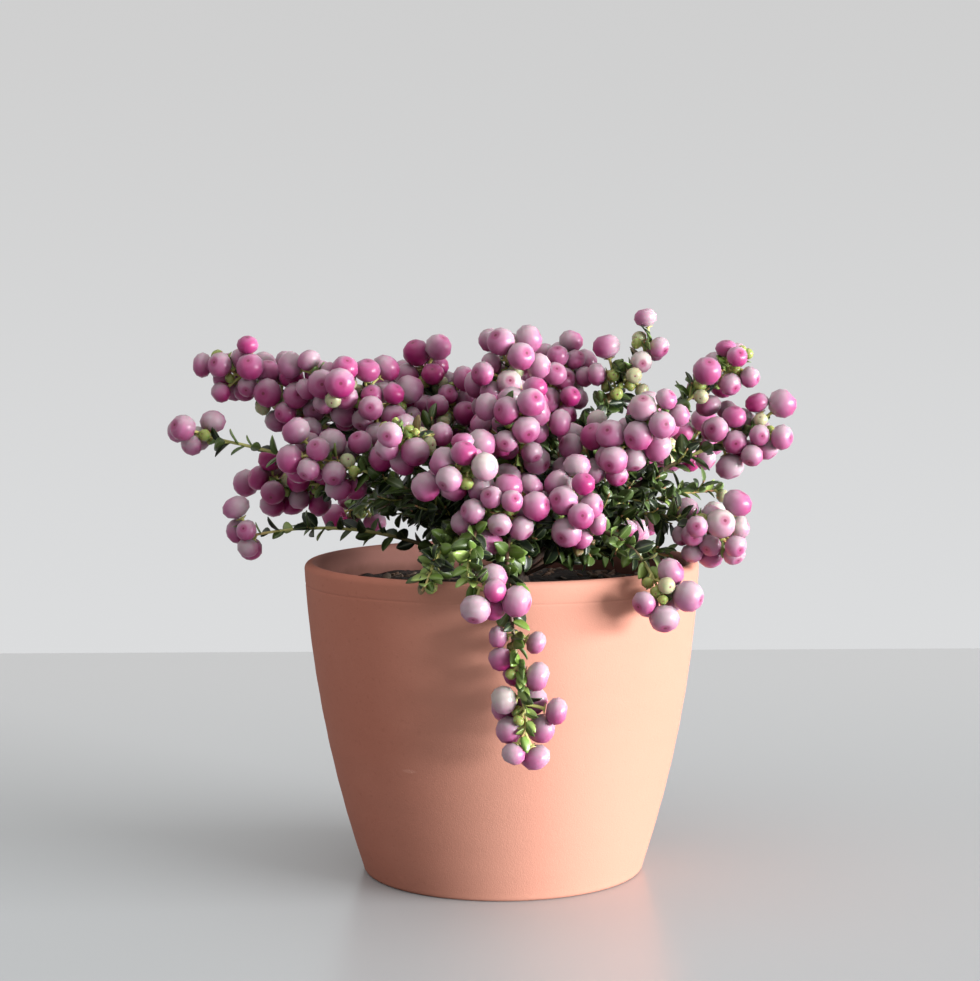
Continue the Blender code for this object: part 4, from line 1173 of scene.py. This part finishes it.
def place_leaves():
    """A leaf to each node of each twig, turned until it misses the berries.

    Near a fruiting tip half of them are fresh, and on shoots without berries, inside the crown, all are
    dark, partly as painted shade.
    """
    placed = []
    leaf_chances = {spray.name: chances(spray, LEAF_CHANCES) for spray in SPRAYS}
    for twig in twigs:
        chance = leaf_chances[twig.spray.name]
        close = twig.spray.leaves if twig.fruitful else INNER_LEAVES
        count = int(twig.length / LEAF_SPACING * close)
        low = 0.2 if twig.main and twig.spray.bare == 0 else 0.0
        for number in range(int(low * count), count):
            share = (number + 0.5) / count
            index = int(share * (len(twig.path) - 1))
            base = twig.path[index]
            size = chance.uniform(*LEAF_LENGTH) * (1.0 - 0.35 * share ** 3)
            for attempt in range(LEAF_TRIES):
                turn = GOLDEN_ANGLE * number + chance.uniform(-0.4, 0.4) + attempt * 1.3
                out = radial_direction(twig.along[index], turn, chance.uniform(*LEAF_LEAN))
                out = unit(out + UP * 0.12)
                probes = base + out * size * np.array((0.35, 0.65, 1.0))[:, None]
                gaps = np.linalg.norm(probes[:, None] - berry_centres[None], axis=2) - berry_radii
                if gaps.min() > LEAF_CLEAR and not inside_pot(probes, 0.5 * MM).any():
                    tip = twig.fruitful and share > FRESH_FROM
                    fresh = tip and chance.random() < FRESH_SHARE
                    # Partly painted shade: leaves on shoots without berries, inside the crown, take only the
                    # darkest tints.
                    young = LEAF_TINTS - 2 if twig.fruitful else 2
                    tint = LEAF_TINTS - 2 if fresh else int(chance.integers(0, young))
                    tint = LEAF_TINTS - 1 if chance.random() < RUST_SHARE else tint
                    outward = unit(base * (1, 1, 0) + 0.01 * MM)
                    face = 0.3 * twig.along[index] + 0.45 * UP + 0.45 * outward
                    face = face + chance.normal(0.0, LEAF_ROLL, 3)
                    placed.append((base, out, face, size, chance.uniform(*LEAF_WIDTH_SHARE), tint))
                    break
    return placed


def leaf_material():
    """Glossy dark green above with pale rib and margin, dull and paler below, by tints; the darkest tints,
    above and below, are partly painted shade.

    The map's u goes round the blade: over its upper side, where the rib is in the middle,
    in its first half, and back under it in its second half.
    """
    material, shader, _, chart = new_material(
        "heath_leaves", 0.40, Coat_Weight=0.18, Coat_Roughness=0.26, Specular_IOR_Level=0.42,
    )
    u, v, _ = chart.parts()
    column = u * float(LEAF_TINTS)
    tint = column.whole()
    across = column.fraction()
    top = (tint / (LEAF_TINTS - 3.0)).blend(LEAF_DARK, LEAF_GREEN)
    top = tint.above(LEAF_TINTS - 2.5).blend(top, LEAF_FRESH)
    top = (tint.above(LEAF_TINTS - 1.5) * 0.8).blend(top, LEAF_RUST)
    from_rib = ((across * 2.0).fraction() - 0.5).absolute()
    rib = 1.0 - from_rib.between(0.02, 0.07)
    edge = from_rib.between(0.42, 0.49)
    top = (rib * 0.35).blend(top, LEAF_EDGE)
    top = (edge * 0.50).blend(top, LEAF_EDGE)
    # Painted shade: the darkest tints are dark below as well.
    below = (tint / (LEAF_TINTS - 3.0)).blend(LEAF_UNDER_SHADED, LEAF_UNDER)
    below = (rib * 0.35).blend(below, LEAF_EDGE)
    across.above(0.5).blend(top, below).feed(shader, "Base Color")
    return material


leaves = place_leaves()
parts = [np.array(part) for part in zip(*leaves)]
leaf_bases, leaf_outs, leaf_faces, leaf_sizes, leaf_widths, leaf_tints = parts
leaf_sides = unit(np.cross(leaf_faces, leaf_outs))
leaf_frames = np.stack((leaf_outs, leaf_sides, np.cross(leaf_outs, leaf_sides)), 1)
stretch = np.ones((len(leaves), 1, 1, 3))
stretch[:, 0, 0, 1] = leaf_widths
leaf_points = set_out(leaf_surface() * stretch, leaf_frames, leaf_sizes, leaf_bases)
leaf_solid = closed_rings(leaf_points, leaf_tints, LEAF_TINTS)
put_piece("heath_leaves", leaf_solid, leaf_material(), "foliage", *SPRAY_NODES)
